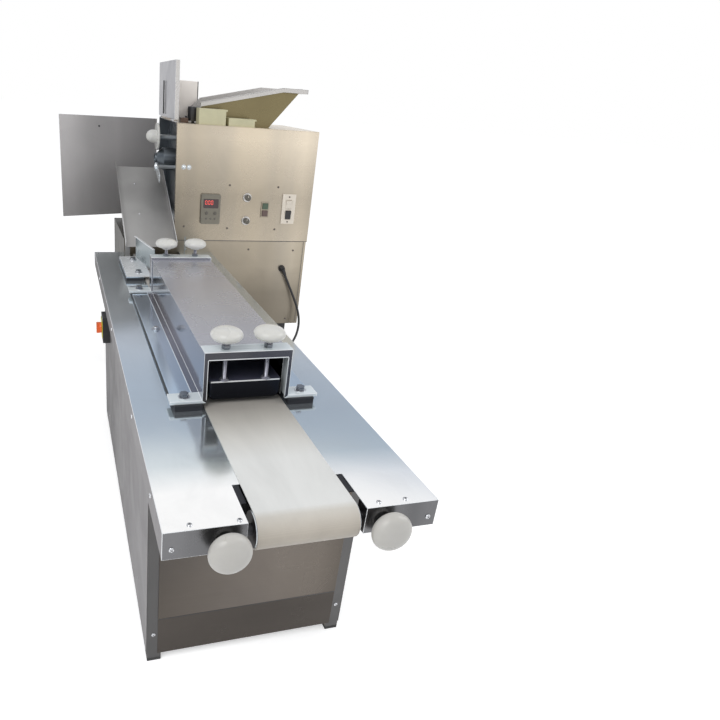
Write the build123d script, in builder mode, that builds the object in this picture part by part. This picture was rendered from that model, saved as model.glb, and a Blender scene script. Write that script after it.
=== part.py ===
from build123d import *
import os
from math import asin, cos, degrees, hypot, pi, radians, sin, tan

# Bread moulder: a dough divider head behind a conveyor moulding table
# Millimetres, +Z up, X to the right, Y from the table's front edge to the back, floor at Z = 0
# In the head, names ending in BACK are distances behind its front face, and in UP heights above its floor

# Sheet, clearances and fits
SHEET = 2.0
RUN_FIT = 0.05
CLEAR = 0.3
CUT_PAST = 1.0

# Table
BASE_W = 448.0
DECK_OVERHANG = 13.0
TABLE_L = 1716.0
TABLE_H = 530.0
APRON = 52.0
NOTCH_W = 204.0
NOTCH_L = 102.0
DECK_SCREW_IN = 15.0
DECK_SCREW_DROP = 33.0

# Belt and drums
BELT_W = 176.0
BELT_T = 2.5
DRUM_D = 60.0
DRUM_OVER = 2.0
DRUM_SHAFT_D = 20.0
FRONT_DRUM_Y = 20.0
REAR_DRUM_INSET = 44.0
BLOCK_L = 28.0
BLOCK_X = (104.0, 152.0)
REAR_BLOCK_X = (104.0, 124.0)
BLOCK_DEPTH = 24.0

# Take-up screws
TENSION_X = 137.0
TENSION_DROP = 30.0
TENSION_ROD_D = 12.0
TENSION_ROD_PAST = 8.0
TENSION_KNOB_D = 70.0
TENSION_KNOB_H = 33.6
TENSION_HUB_R = 15.4
TENSION_HUB_H = 7.0
KNOB_STAND_OFF = 6.0
ROD_IN_KNOB = 10.0

# Base under the table
BASE_FRONT = 224.0
BASE_REAR_INSET = 380.0
TUBE = 30.0
RAIL_LOW = 60.0
RAIL_DROP = 105.0
FOOT_H = 8.0
PANEL_FOOT = 20.0
PANEL_DROP = 75.0
FRONT_PANEL_IN = 22.0
FRONT_SEAM = 118.0
SIDE_PANEL_DROP = 30.0
LEG_SCREW_IN = 13.0
LEG_SCREW_Z = 75.0

# Moulding bridge over the belt
PLATFORM_X = (94.0, 155.0)
PLATFORM_T = 14.0
PLATFORM_AHEAD = 6.0
PLATFORM_PAST = 36.0
BRIDGE_D = 40.0
BRIDGE_FRONT = 372.0
BRIDGE_REAR_INSET = 586.0
BRIDGE_X = 95.0
BRIDGE_T = 4.0
BRIDGE_H = 114.0
BRIDGE_FOOT_X = 163.0
BRIDGE_FOOT_T = 7.0
BRIDGE_SIDE_LIP = 9.0
BRIDGE_TOP_LIP = 18.0
TUNNEL_X = 92.5
TUNNEL_DROP = 8.0
TUNNEL_FLANGE = 16.0
BOARD_X = 79.0
BOARD_AHEAD = 7.0
BOARD_PAST = 15.0
BOARD_GAP = 9.5
BOARD_H = 44.0
BOARD_EDGE_R = 14.0
BOARD_NOSE_R = 5.0
PRESS_X = 46.0
PRESS_ROD_D = 10.0
PRESS_COLLAR_H = 4.0
PRESS_KNOB_D = 68.0
PRESS_KNOB_RISE = (14.0, 23.0)
PRESS_KNOB_H = 27.0
PRESS_HUB_R = 13.6
PRESS_HUB_H = 0.5
PRESS_ROD_IN = 8.0
PRESS_GRIP = 20.0
NUT_AF = 17.0
NUT_H = 8.0
BOLT_X = 130.0
WASHER_D = 26.0
WASHER_T = 2.0

# Dough guides between the chute and the rear bridge
GUIDE_BACK = (-408.0, -141.0)
GUIDE_FOOT_X = (70.0, 153.0)
GUIDE_FOOT_T = 4.0
GUIDE_NEAR = (51.0, -362.0)
GUIDE_FAR = (91.0, -154.0)
GUIDE_H = 85.0
GUIDE_LIP = 8.0
GUIDE_BOLT_X = 108.0
GUIDE_BOLT_BACK = (-366.0, -196.0)

# Conveyor drive
SPROCKET_TEETH = 11
CHAIN_PITCH = 9.525
SPROCKET_X = (130.0, 138.0)
TOOTH_OUT = 3.0
TOOTH_IN = 4.0
TOOTH_HALF = (3.6, 1.2)
MOTOR_AHEAD = 222.0
MOTOR_DROP = 170.0
GEARBOX = 90.0
GEARBOX_X = (20.0, 110.0)
CHAIN_T = 5.5
CHAIN_INSET = 1.0
MOTOR_SHAFT_D = 18.0
SHAFT_SEAT = 20.0
SHAFT_SEAT_PAST = 2.0
SHAFT_PAST = 4.0
BELT_MOTOR_L = 150.0
BELT_MOTOR_R = 41.4
MOTOR_BRACKET_H = 30.0
MOTOR_BRACKET_IN = 10.0

# Drives in the head
AUGER_DRIVE_GAP = 42.0
AUGER_DRIVE_L = 80.0
AUGER_MOTOR_L = 80.0
AUGER_MOTOR_R = 37.8
AUGER_STAND_IN = 15.0
AUGER_STAND_W = 60.0
CUTTER_MOTOR_L = 120.0
CUTTER_MOTOR_R = 30.0
PINION_MOTOR_L = 102.0
PINION_MOTOR_GAP = 8.0
PINION_MOTOR_R = 32.0
PINION_STAND_W = 24.0
PINION_STAND_L = 80.0
PINION_STAND_GAP = 20.0

# Isolator
ISOLATOR_AHEAD = 188.0
ISOLATOR_DROP = 105.0
ISOLATOR_SIZE = (22.0, 66.0, 84.0)
ISOLATOR_HANDLE_D = 34.0
ISOLATOR_HUB_H = 8.0
ISOLATOR_GRIP = (18.0, 6.0)
ISOLATOR_GRIP_W = 10.0
ISOLATOR_STEM_R = 4.0
ISOLATOR_STEM_L = 10.0

# Head
HEAD_X = (80.0, 662.0)
HEAD_D = 448.0
HEAD_RISE = 50.0
HEAD_H = 446.0
CABINET_X = (-121.0, 658.0)
CABINET_Z = 205.0
CORNER_RETURN = 15.0
HEAD_LEG = 50.0
HEAD_LEG_X = (-95.0, 561.0)
HEAD_LEG_BACK = (24.0, 374.0)
HEAD_FOOT_H = 12.0
HEAD_FOOT_OVER = 4.0
LEFT_RETURN = 18.0
BULKHEAD_X = 120.0
BULKHEAD_T = 3.0
WHEEL_BOSS_L = 26.0
WHEEL_BOSS_WALL = 8.0

# Rear door
DOOR_W = 452.0
DOOR_UP = (30.0, 438.0)
DOOR_OPEN = 200.6
DOOR_AXIS_OUT = (-4.0, 7.0)
DOOR_GAP = 2.0
LEAF_T = 1.5
LEAF_L = 14.0
LEAF_WEB = 3.0
DOOR_HOLE_PAST = 1.0
DOOR_HOLE_END = 515.0
DOOR_HOLE_UP = (45.0, 424.0)
DOOR_BARREL_R = 4.0
DOOR_PIN_R = 2.0
DOOR_KNUCKLE_UP = (60.0, 370.0)
KNUCKLE_L = 20.0

# Guard lid
LID_BACK = (51.0, 446.0)
LID_H = 217.0
LID_AXIS_OUT = (-4.0, 4.5)
LID_T = 2.0
LID_FLANGE = 16.0
LID_FOOT_GAP = 1.0
LID_SLOT_BACK = 294.0
LID_SLOT_RISE = (21.0, 145.0)
LID_SLOT_W = 14.0
LID_BARREL_R = 3.5
LID_PIN_R = 1.75
LID_KNUCKLE_BACK = (94.0, 374.0)

# Hopper and feed rollers, the hopper's points above the roof
ROLLER_X = (218.0, 337.0)
ROLLER_UP = 405.0
ROLLER_R = 55.0
ROLLER_BACK = (99.0, 369.0)
ROLLER_SHAFT_R = 12.0
ROLLER_SHAFT_BACK = (19.0, 430.0)
ROLLER_ROOF_GAP = 5.0
BEARING_BACK = (10.0, 66.0)
BEARING_X = ((165.0, 271.0), (284.0, 389.0))
BEARING_FOOT_UP = 370.0
BEARING_TOP_UP = (503.0, 475.0)
BEARING_LIP = 6.0
REAR_BEARING_BACK = (404.0, 432.0)
REAR_BEARING_W = 56.0
GEAR_BACK = (384.0, 398.0)
GEAR_ROOF_GAP = 2.0
GEAR_TEETH = 30
PINION_TEETH = 15
PINION_ANGLE = -60.0
PINION_PAST = 2.0
HOPPER_BACK = (90.0, 380.0)
HOPPER_WALL = ((200.0, 0.0), (473.0, 0.0), (604.0, 152.0), (520.0, 152.0), (183.0, 77.0))
HOPPER_FLOOR = ((396.0, 8.0), (604.0, 152.0))
HOPPER_LEFT = ((197.0, 18.0), (191.0, 43.0))
HOPPER_FAR_IN = 62.0
HOPPER_LIP = 16.0
HOPPER_END_LIP = 20.0
ROOF_HOLE_X = (160.0, 395.0)
GEAR_HOLE_X = (150.0, 405.0)

# Auger, hand wheel and cutter
AUGER_BACK = 210.0
AUGER_UP = 294.0
AUGER_R = 38.0
AUGER_SHAFT_R = 10.0
AUGER_X = (66.0, 450.0)
AUGER_PITCH = 64.0
AUGER_BLADE_T = 5.0
BLADE_SINK = 2.0
BARREL_R = 45.0
BARREL_WALL = 4.0
BARREL_X = (60.0, 462.0)
BARREL_CAP = 8.0
INLET_X = (165.0, 392.0)
INLET_HALF = 34.0
NOZZLE_X = 26.0
NOZZLE_R = 22.0
NOZZLE_BORE = 15.0
NOZZLE_LIP = 8.0
WHEEL_UP = 380.0
WHEEL_SHAFT_R = 9.5
WHEEL_GRIP_X = -10.0
WHEEL_DISC_X = (32.0, 40.0)
WHEEL_R = 53.0
WHEEL_RIM = 2.0
WHEEL_GRIP_R = 25.5
WHEEL_NECK = 14.0
CUTTER_BACK = 129.0
CUTTER_UP = 270.0
CUTTER_R = 100.0
CUTTER_X = (20.0, 23.0)
CUTTER_SHAFT_R = 8.0
CUTTER_HUB_R = 16.0
CUTTER_HUB_PAST = 4.0
CUTTER_SHAFT_PAST = 6.0
CUTTER_W = 34.0
CUTTER_REST = 200.0

# Chute, its ends as distance behind the head's front face and height above the head's floor
CHUTE_X = (-126.0, 71.0)
CHUTE_FROM = (-118.0, 0.0)
CHUTE_TO = (304.0, 246.0)
CHUTE_SIDE = 24.0
CHUTE_STRUT = 16.0
CHUTE_STRUT_X = (-100.0, 40.0)
CHUTE_STRUT_BACK = 269.0
CHUTE_FOOT_X = (-126.0, -108.0)
CHUTE_FOOT_BACK = -94.0
CHUTE_FOOT_T = 3.0
CHUTE_FOOT_L = 37.0
CHUTE_FOOT_OUT = 16.0

# Roof fittings
SHIELD_X = (84.0, 240.0)
SHIELD_BACK = 402.0
SHIELD_H = 154.0
SHIELD_FLANGE = 20.0
BRACKET_X = (104.0, 136.0)
BRACKET_BACK = (70.0, 100.0)
BRACKET_H = 17.0
GAP_KNOB_X = 158.0
GAP_KNOB_BACK = 92.0
GAP_KNOB_D = 42.0
GAP_KNOB_H = 52.0
GAP_KNOB_EDGE = 4.0
GAP_STEM_R = 6.0
GAP_STEM_H = 7.0
GAP_STEM_BELOW = 14.0
GAP_STEM_IN = 4.0

# Controls on the front panel
KEYPAD_X = (184.0, 264.0)
KEYPAD_UP = (70.0, 188.0)
KEYPAD_T = 12.0
WINDOW_X = (193.0, 255.0)
WINDOW_UP = (134.0, 170.0)
WINDOW_DEPTH = 2.0
DIAL_PLACES = ((377.0, 179.0), (378.0, 85.0))
DIAL_D = 38.0
DIAL_KNOB_D = 24.0
DIAL_SKIRT = 5.0
DIAL_H = 20.0
DIAL_SHAFT_R = 3.0
DIAL_SHAFT_PAST = 6.0
BUTTON_PLATE_X = (440.0, 474.0)
BUTTON_PLATE_UP = (100.0, 163.0)
BUTTON_UP = (146.0, 117.0)
BUTTON_W = 24.0
BUTTON_FRAME_T = 4.0
BUTTON_OUT = 8.0
BUTTON_IN = 1.0
ROCKER_PLATE_X = (531.0, 589.0)
ROCKER_PLATE_UP = (76.0, 198.0)
ROCKER_UP = (156.0, 113.0)
ROCKER_SIZE = (24.0, 36.0)
ROCKER_DEPTH = 8.0
ROCKER_SLACK = 1.0
ROCKER_AXIS_OUT = 1.0
ROCKER_PIN_R = 0.9
PLATE_T = 5.0
SCREW_R = 4.5
SCREW_H = 2.5
UPPER_SCREWS = ((118.0, 57.0), (300.0, 52.0), (508.0, 51.0), (301.0, 225.0), (508.0, 224.0))
DOME_NUTS = ((110.0, 287.0), (131.0, 287.0))
DOME_NUT_R = 7.0
DOME_NUT_H = 5.0
LOWER_SCREWS = ((400.0, -36.0), (602.0, -39.0))
CABINET_SCREW = (599.0, 23.0)

# Mains lead
CORD_D = 10.0
GLAND = (558.0, 461.0)
GLAND_R = 13.0
GLAND_OUT = 19.0
GLAND_LEAN = 26.0
GLAND_SLEEVE = 30.0
GLAND_SLEEVE_R = 8.5
CORD_LIFT = 0.2
CORD_LEAD = 46.0
CORD_ROUTE = (
    (45.0, -9.0, 341.0),
    (66.0, -22.0, 289.0),
    (76.0, -36.0, 235.0),
    (69.0, -46.0, 181.0),
    (47.0, -49.0, 131.0),
    (15.0, -45.0, 88.0),
    (-23.0, -37.0, 53.0),
    (-64.0, -21.0, 26.0),
    (-105.0, 1.0, 10.0),
    (-143.0, 27.0, CORD_D / 2 + CORD_LIFT),
    (-176.0, 54.0, CORD_D / 2 + CORD_LIFT),
)
COIL_HALF_TURNS = (6, 5)
COIL_GAP = 0.6
COIL_OUTER_R = 73.0
COIL_STRAIGHT = 14.0
COIL_TAIL_L = 62.0
PLUG = (38.0, 52.0, 30.0)
PLUG_EDGE = 6.0
PLUG_SEAT = 0.15
PLUG_PIN_R = 2.4
PLUG_PIN_L = 19.0
PLUG_PIN_APART = 19.0


def moved(places, start):
    """Places counted from a start."""
    return tuple(start + place for place in places)


def raised(points, start):
    """Points of X and height, with the height counted from a start."""
    return tuple((x, start + height) for x, height in points)


# Places that follow from the sizes
TABLE_W = BASE_W + 2 * DECK_OVERHANG
DECK_UNDER = TABLE_H - SHEET
BASE_Y = (BASE_FRONT, TABLE_L - BASE_REAR_INSET)
RAIL_Z = (RAIL_LOW, TABLE_H - RAIL_DROP)
PANEL_Z = (PANEL_FOOT, TABLE_H - PANEL_DROP)
SIDE_PANEL_TOP = TABLE_H - SIDE_PANEL_DROP
DRUM_Z = TABLE_H - DRUM_D / 2
REAR_DRUM_Y = TABLE_L - REAR_DRUM_INSET
TENSION_Z = TABLE_H - TENSION_DROP
MOTOR_Y = REAR_DRUM_Y - MOTOR_AHEAD
MOTOR_Z = TABLE_H - MOTOR_DROP
ISOLATOR_Y = BASE_Y[1] - ISOLATOR_AHEAD
ISOLATOR_Z = TABLE_H - ISOLATOR_DROP
BRIDGE_Y = (BRIDGE_FRONT, TABLE_L - BRIDGE_REAR_INSET)
PRESS_Y = tuple(y + BRIDGE_D / 2 for y in BRIDGE_Y)
PLATFORM_Y = (BRIDGE_Y[0] - PLATFORM_AHEAD, BRIDGE_Y[1] + BRIDGE_D + PLATFORM_PAST)
PLATFORM_TOP = TABLE_H + PLATFORM_T
BRIDGE_TOP = PLATFORM_TOP + BRIDGE_H
TUNNEL_TOP = BRIDGE_TOP - TUNNEL_DROP
BOARD_Y = (PRESS_Y[0] - BOARD_AHEAD, PRESS_Y[1] + BOARD_PAST)
BOARD_Z = (TABLE_H + BELT_T + BOARD_GAP, TABLE_H + BELT_T + BOARD_GAP + BOARD_H)
PRESS_KNOB_Z = tuple(BRIDGE_TOP + rise for rise in PRESS_KNOB_RISE)
SPROCKET_R = CHAIN_PITCH / (2 * sin(pi / SPROCKET_TEETH))
SPROCKET_TIP = SPROCKET_R + TOOTH_OUT

# Places in the head
HEAD_Y = (TABLE_L, TABLE_L + HEAD_D)
HEAD_Z = (TABLE_H + HEAD_RISE, TABLE_H + HEAD_RISE + HEAD_H)
ROOF_UNDER = HEAD_Z[1] - SHEET
HEAD_LEG_Y = moved(HEAD_LEG_BACK, HEAD_Y[0])
GUIDE_Y = moved(GUIDE_BACK, HEAD_Y[0])
GUIDE_BOLT_Y = moved(GUIDE_BOLT_BACK, HEAD_Y[0])
DOOR_Z = moved(DOOR_UP, HEAD_Z[0])
DOOR_HOLE_X = (BULKHEAD_X + BULKHEAD_T + DOOR_HOLE_PAST, DOOR_HOLE_END)
DOOR_HOLE_Z = moved(DOOR_HOLE_UP, HEAD_Z[0])
DOOR_KNUCKLES = moved(DOOR_KNUCKLE_UP, HEAD_Z[0])
DOOR_AXIS = (HEAD_X[0] + DOOR_AXIS_OUT[0], HEAD_Y[1] + DOOR_AXIS_OUT[1])
DOOR_FREE_X = DOOR_AXIS[0] + DOOR_W * cos(radians(DOOR_OPEN))
LID_Y = moved(LID_BACK, HEAD_Y[0])
LID_AXIS = (HEAD_X[0] + LID_AXIS_OUT[0], HEAD_Z[1] + LID_AXIS_OUT[1])
LID_TOP = HEAD_Z[1] + LID_H
LID_SLOT_Y = HEAD_Y[0] + LID_SLOT_BACK
LID_SLOT_Z = moved(LID_SLOT_RISE, HEAD_Z[1])
LID_KNUCKLES = moved(LID_KNUCKLE_BACK, HEAD_Y[0])
ROLLER_Y = moved(ROLLER_BACK, HEAD_Y[0])
ROLLER_Z = HEAD_Z[0] + ROLLER_UP
ROLLER_SHAFT_Y = moved(ROLLER_SHAFT_BACK, HEAD_Y[0])
BEARING_Y = moved(BEARING_BACK, HEAD_Y[0])
BEARING_FOOT = HEAD_Z[0] + BEARING_FOOT_UP
BEARING_TOPS = moved(BEARING_TOP_UP, HEAD_Z[0])
REAR_BEARING_Y = moved(REAR_BEARING_BACK, HEAD_Y[0])
GEAR_Y = moved(GEAR_BACK, HEAD_Y[0])
GEAR_R = (ROLLER_X[1] - ROLLER_X[0]) / 2
GEAR_MODULE = 2 * GEAR_R / GEAR_TEETH
PINION_R = GEAR_MODULE * PINION_TEETH / 2
PINION_X = ROLLER_X[1] + (GEAR_R + PINION_R) * cos(radians(PINION_ANGLE))
PINION_Z = ROLLER_Z + (GEAR_R + PINION_R) * sin(radians(PINION_ANGLE))
HOPPER_Y = moved(HOPPER_BACK, HEAD_Y[0])
AUGER_Y = HEAD_Y[0] + AUGER_BACK
AUGER_Z = HEAD_Z[0] + AUGER_UP
WHEEL_Z = HEAD_Z[0] + WHEEL_UP
CUTTER_Y = HEAD_Y[0] + CUTTER_BACK
CUTTER_Z = HEAD_Z[0] + CUTTER_UP
CHUTE_LOW = (HEAD_Y[0] + CHUTE_FROM[0], HEAD_Z[0] + CHUTE_FROM[1])
CHUTE_HIGH = (HEAD_Y[0] + CHUTE_TO[0], HEAD_Z[0] + CHUTE_TO[1])
CHUTE_STRUT_Y = HEAD_Y[0] + CHUTE_STRUT_BACK
CHUTE_FOOT_Y = HEAD_Y[0] + CHUTE_FOOT_BACK
SHIELD_Y = HEAD_Y[0] + SHIELD_BACK
SHIELD_TOP = HEAD_Z[1] + SHIELD_H
BRACKET_Y = moved(BRACKET_BACK, HEAD_Y[0])
GAP_KNOB_Y = HEAD_Y[0] + GAP_KNOB_BACK
KEYPAD_Z = moved(KEYPAD_UP, HEAD_Z[0])
WINDOW_Z = moved(WINDOW_UP, HEAD_Z[0])
DIALS = raised(DIAL_PLACES, HEAD_Z[0])
BUTTON_PLATE_Z = moved(BUTTON_PLATE_UP, HEAD_Z[0])
BUTTON_ROWS = moved(BUTTON_UP, HEAD_Z[0])
ROCKER_PLATE_Z = moved(ROCKER_PLATE_UP, HEAD_Z[0])
ROCKER_ROWS = moved(ROCKER_UP, HEAD_Z[0])

# The origin stands under the middle of the whole machine
KNOB_FRONT_Y = -KNOB_STAND_OFF - TENSION_HUB_H - TENSION_KNOB_H
TABLE_X = -(DOOR_FREE_X + HEAD_X[1]) / 2
TABLE_Y = -(KNOB_FRONT_Y + DOOR_AXIS[1] + DOOR_BARREL_R) / 2
PIECES = {}


def at(x, y, z):
    return (x + TABLE_X, y + TABLE_Y, z)


def slab(x, y, z, mode=Mode.ADD):
    with Locations(at(sum(x) / 2, sum(y) / 2, sum(z) / 2)):
        Box(x[1] - x[0], y[1] - y[0], z[1] - z[0], mode=mode)


def rod_x(x, y, z, radius, mode=Mode.ADD):
    with Locations(Location(at(sum(x) / 2, y, z), (0, 90, 0))):
        Cylinder(radius, x[1] - x[0], mode=mode)


def rod_y(x, y, z, radius, mode=Mode.ADD):
    with Locations(Location(at(x, sum(y) / 2, z), (90, 0, 0))):
        Cylinder(radius, y[1] - y[0], mode=mode)


def rod_z(x, y, z, radius, mode=Mode.ADD):
    with Locations(at(x, y, sum(z) / 2)):
        Cylinder(radius, z[1] - z[0], mode=mode)


def sheet_band(line, y, thickness):
    """A flat strip of sheet seen edge on from the front, standing between two Y places."""
    (x0, z0), (x1, z1) = line
    run = hypot(x1 - x0, z1 - z0)
    side = (-(z1 - z0) / run * thickness, (x1 - x0) / run * thickness)
    corners = ((x0, z0), (x1, z1), (x1 + side[0], z1 + side[1]), (x0 + side[0], z0 + side[1]))
    with BuildSketch(Plane(at(0, y[0], 0), x_dir=(1, 0, 0), z_dir=(0, -1, 0))) as strip:
        Polygon(*corners, align=None)
    extrude(strip.sketch, amount=-(y[1] - y[0]))


def turned(profile, origin, radial, axial):
    """A turned body from points of radius and length, on an axis through the origin."""
    plane = Plane(origin, x_dir=radial, z_dir=Vector(*radial).cross(Vector(*axial)))
    with BuildSketch(plane) as half:
        with BuildLine():
            Polyline(*profile, close=True)
        make_face()
    revolve(half.sketch, axis=Axis(origin, axial))


def slanted_wall(near, far, width, z):
    """An upright wall that stands aslant in plan, from a near to a far point of X and Y."""
    corners = (near, far, (far[0] + width, far[1]), (near[0] + width, near[1]))
    with BuildSketch(Plane(at(0, 0, z[0]))) as plan:
        Polygon(*corners, align=None)
    extrude(plan.sketch, amount=z[1] - z[0])


def toothed_x(x, y, z):
    """A chain wheel on an axis along X."""
    root = SPROCKET_R - TOOTH_IN
    inner = root - TOOTH_IN / 2
    root_half, tip_half = TOOTH_HALF
    corners = ((inner, -root_half), (SPROCKET_TIP, -tip_half), (SPROCKET_TIP, tip_half), (inner, root_half))
    with BuildSketch(Plane(at(x[0], y, z), x_dir=(0, 1, 0), z_dir=(1, 0, 0))) as wheel:
        Circle(root)
        with PolarLocations(0, SPROCKET_TEETH):
            Polygon(*corners, align=None)
    extrude(wheel.sketch, amount=x[1] - x[0])


def toothed_y(x, y, z, teeth, pitch_r, module, turn):
    """A spur gear on an axis along Y, turned by an angle in its own plane."""
    root = pitch_r - 1.3 * module
    tip = pitch_r + 0.85 * module
    with BuildSketch(Plane(at(x, y[0], z), x_dir=(1, 0, 0), z_dir=(0, -1, 0))) as wheel:
        Circle(root)
        with PolarLocations(0, teeth, start_angle=turn):
            Polygon(
                (root - 1, -1.05 * module),
                (tip, -0.36 * module),
                (tip, 0.36 * module),
                (root - 1, 1.05 * module),
                align=None,
            )
    extrude(wheel.sketch, amount=-(y[1] - y[0]))


def knob_profile(diameter, height, hub_r, hub_h):
    """Half section of a domed knob that tapers to its hub."""
    r = diameter / 2
    low = (
        (0, 0),
        (hub_r, 0),
        (hub_r, hub_h),
        (r * 0.72, hub_h + 0.12 * height),
        (r * 0.93, hub_h + 0.28 * height),
        (r, hub_h + 0.46 * height),
    )
    high = (
        (r * 0.97, hub_h + 0.62 * height),
        (r * 0.85, hub_h + 0.79 * height),
        (r * 0.62, hub_h + 0.92 * height),
        (r * 0.30, hub_h + 0.985 * height),
        (0, hub_h + height),
    )
    return low + high


def keep(builder, node):
    builder.part.label = node
    PIECES[node] = builder


# Base frame of square tube
LEG_X = (-BASE_W / 2, BASE_W / 2 - TUBE)
LEG_Y = (BASE_Y[0], BASE_Y[1] - TUBE)
with BuildPart() as base_frame:
    for leg_x in LEG_X:
        for leg_y in LEG_Y:
            slab((leg_x, leg_x + TUBE), (leg_y, leg_y + TUBE), (FOOT_H, DECK_UNDER))
        for rail_z in (RAIL_Z[0], DECK_UNDER - TUBE):
            slab((leg_x, leg_x + TUBE), BASE_Y, (rail_z, rail_z + TUBE))
    for leg_y in LEG_Y:
        for rail_z in RAIL_Z:
            slab((-BASE_W / 2, BASE_W / 2), (leg_y, leg_y + TUBE), (rail_z, rail_z + TUBE))
keep(base_frame, "base_frame")

# Dark end caps under the base and round feet under the head
with BuildPart() as floor_feet:
    for leg_x in LEG_X:
        for leg_y in LEG_Y:
            slab((leg_x, leg_x + TUBE), (leg_y, leg_y + TUBE), (0, FOOT_H))
    for leg_x in HEAD_LEG_X:
        for leg_y in HEAD_LEG_Y:
            foot_y = leg_y + HEAD_LEG / 2
            rod_z(leg_x + HEAD_LEG / 2, foot_y, (0, HEAD_FOOT_H), HEAD_LEG / 2 + HEAD_FOOT_OVER)
keep(floor_feet, "floor_feet")

# Sheet panels round the base, the front one with a seam across it
with BuildPart() as base_panels:
    front_x = (-BASE_W / 2 + FRONT_PANEL_IN, BASE_W / 2 - FRONT_PANEL_IN)
    slab(front_x, (BASE_Y[0] - SHEET, BASE_Y[0]), (FRONT_SEAM, PANEL_Z[1]))
    slab(front_x, (BASE_Y[0] - SHEET / 2, BASE_Y[0]), (PANEL_Z[0], FRONT_SEAM))
    slab((-BASE_W / 2 + CLEAR, BASE_W / 2 - CLEAR), (BASE_Y[1], BASE_Y[1] + SHEET), PANEL_Z)
    for panel_x in (-BASE_W / 2 - SHEET, BASE_W / 2):
        slab((panel_x, panel_x + SHEET), (BASE_Y[0], BASE_Y[1] + SHEET), (PANEL_Z[0], SIDE_PANEL_TOP))
keep(base_panels, "base_panels")

# Folded deck with aprons and a notch for the belt at each end
with BuildPart() as table_deck:
    slab((-TABLE_W / 2, TABLE_W / 2), (0, TABLE_L), (TABLE_H - APRON, TABLE_H))
    slab(
        (-TABLE_W / 2 + SHEET, TABLE_W / 2 - SHEET),
        (SHEET, TABLE_L - SHEET),
        (TABLE_H - APRON - CUT_PAST, DECK_UNDER),
        Mode.SUBTRACT,
    )
    notch_z = (TABLE_H - APRON - CUT_PAST, TABLE_H + CUT_PAST)
    for notch_y in ((-CUT_PAST, NOTCH_L), (TABLE_L - NOTCH_L, TABLE_L + CUT_PAST)):
        slab((-NOTCH_W / 2, NOTCH_W / 2), notch_y, notch_z, Mode.SUBTRACT)
    for side in (-1, 1):
        apron_cut = (-CUT_PAST, SHEET + CUT_PAST)
        rod_y(side * TENSION_X, apron_cut, TENSION_Z, TENSION_ROD_D / 2 + RUN_FIT, Mode.SUBTRACT)
keep(table_deck, "table_deck")

# Rails on both sides of the belt that carry the bridges and the dough guides
with BuildPart() as platform_rails:
    for side in (-1, 1):
        rail_x = sorted((side * PLATFORM_X[0], side * PLATFORM_X[1]))
        for rail_y in (PLATFORM_Y, GUIDE_Y):
            slab(rail_x, rail_y, (TABLE_H, PLATFORM_TOP))
keep(platform_rails, "platform_rails")

# Endless belt round both drums
with BuildPart() as conveyor_belt:
    mid_y = (FRONT_DRUM_Y + REAR_DRUM_Y) / 2
    with BuildSketch(Plane(at(0, mid_y, DRUM_Z), x_dir=(0, 1, 0), z_dir=(1, 0, 0))):
        SlotCenterToCenter(REAR_DRUM_Y - FRONT_DRUM_Y, DRUM_D + 2 * BELT_T)
        SlotCenterToCenter(REAR_DRUM_Y - FRONT_DRUM_Y, DRUM_D, mode=Mode.SUBTRACT)
    extrude(amount=BELT_W / 2, both=True)
keep(conveyor_belt, "conveyor_belt")

# Front drum, and rear drum with its chain wheel
DRUM_HALF = BELT_W / 2 + DRUM_OVER
with BuildPart() as front_roller:
    rod_x((-DRUM_HALF, DRUM_HALF), FRONT_DRUM_Y, DRUM_Z, DRUM_D / 2 - CLEAR)
    rod_x((-REAR_BLOCK_X[1], REAR_BLOCK_X[1]), FRONT_DRUM_Y, DRUM_Z, DRUM_SHAFT_D / 2)
keep(front_roller, "front_roller")

with BuildPart() as rear_roller:
    rod_x((-DRUM_HALF, DRUM_HALF), REAR_DRUM_Y, DRUM_Z, DRUM_D / 2 - CLEAR)
    rod_x((-REAR_BLOCK_X[1], SPROCKET_X[1] + SHAFT_PAST), REAR_DRUM_Y, DRUM_Z, DRUM_SHAFT_D / 2)
    toothed_x(SPROCKET_X, REAR_DRUM_Y, DRUM_Z)
keep(rear_roller, "rear_roller")

# Sliding take-up blocks of the front drum
with BuildPart() as take_up_blocks:
    for side in (-1, 1):
        block_x = sorted((side * BLOCK_X[0], side * BLOCK_X[1]))
        block_y = (FRONT_DRUM_Y - BLOCK_L / 2, FRONT_DRUM_Y + BLOCK_L / 2)
        slab(block_x, block_y, (DRUM_Z - BLOCK_DEPTH, DECK_UNDER - CLEAR))
        bore_x = sorted((side * (BLOCK_X[0] - CUT_PAST), side * (REAR_BLOCK_X[1] + CUT_PAST)))
        rod_x(bore_x, FRONT_DRUM_Y, DRUM_Z, DRUM_SHAFT_D / 2 + RUN_FIT, Mode.SUBTRACT)
        rod_y(
            side * TENSION_X,
            (block_y[0] - CUT_PAST, block_y[1] + CUT_PAST),
            TENSION_Z,
            TENSION_ROD_D / 2 + RUN_FIT,
            Mode.SUBTRACT,
        )
keep(take_up_blocks, "take_up_blocks")

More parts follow.
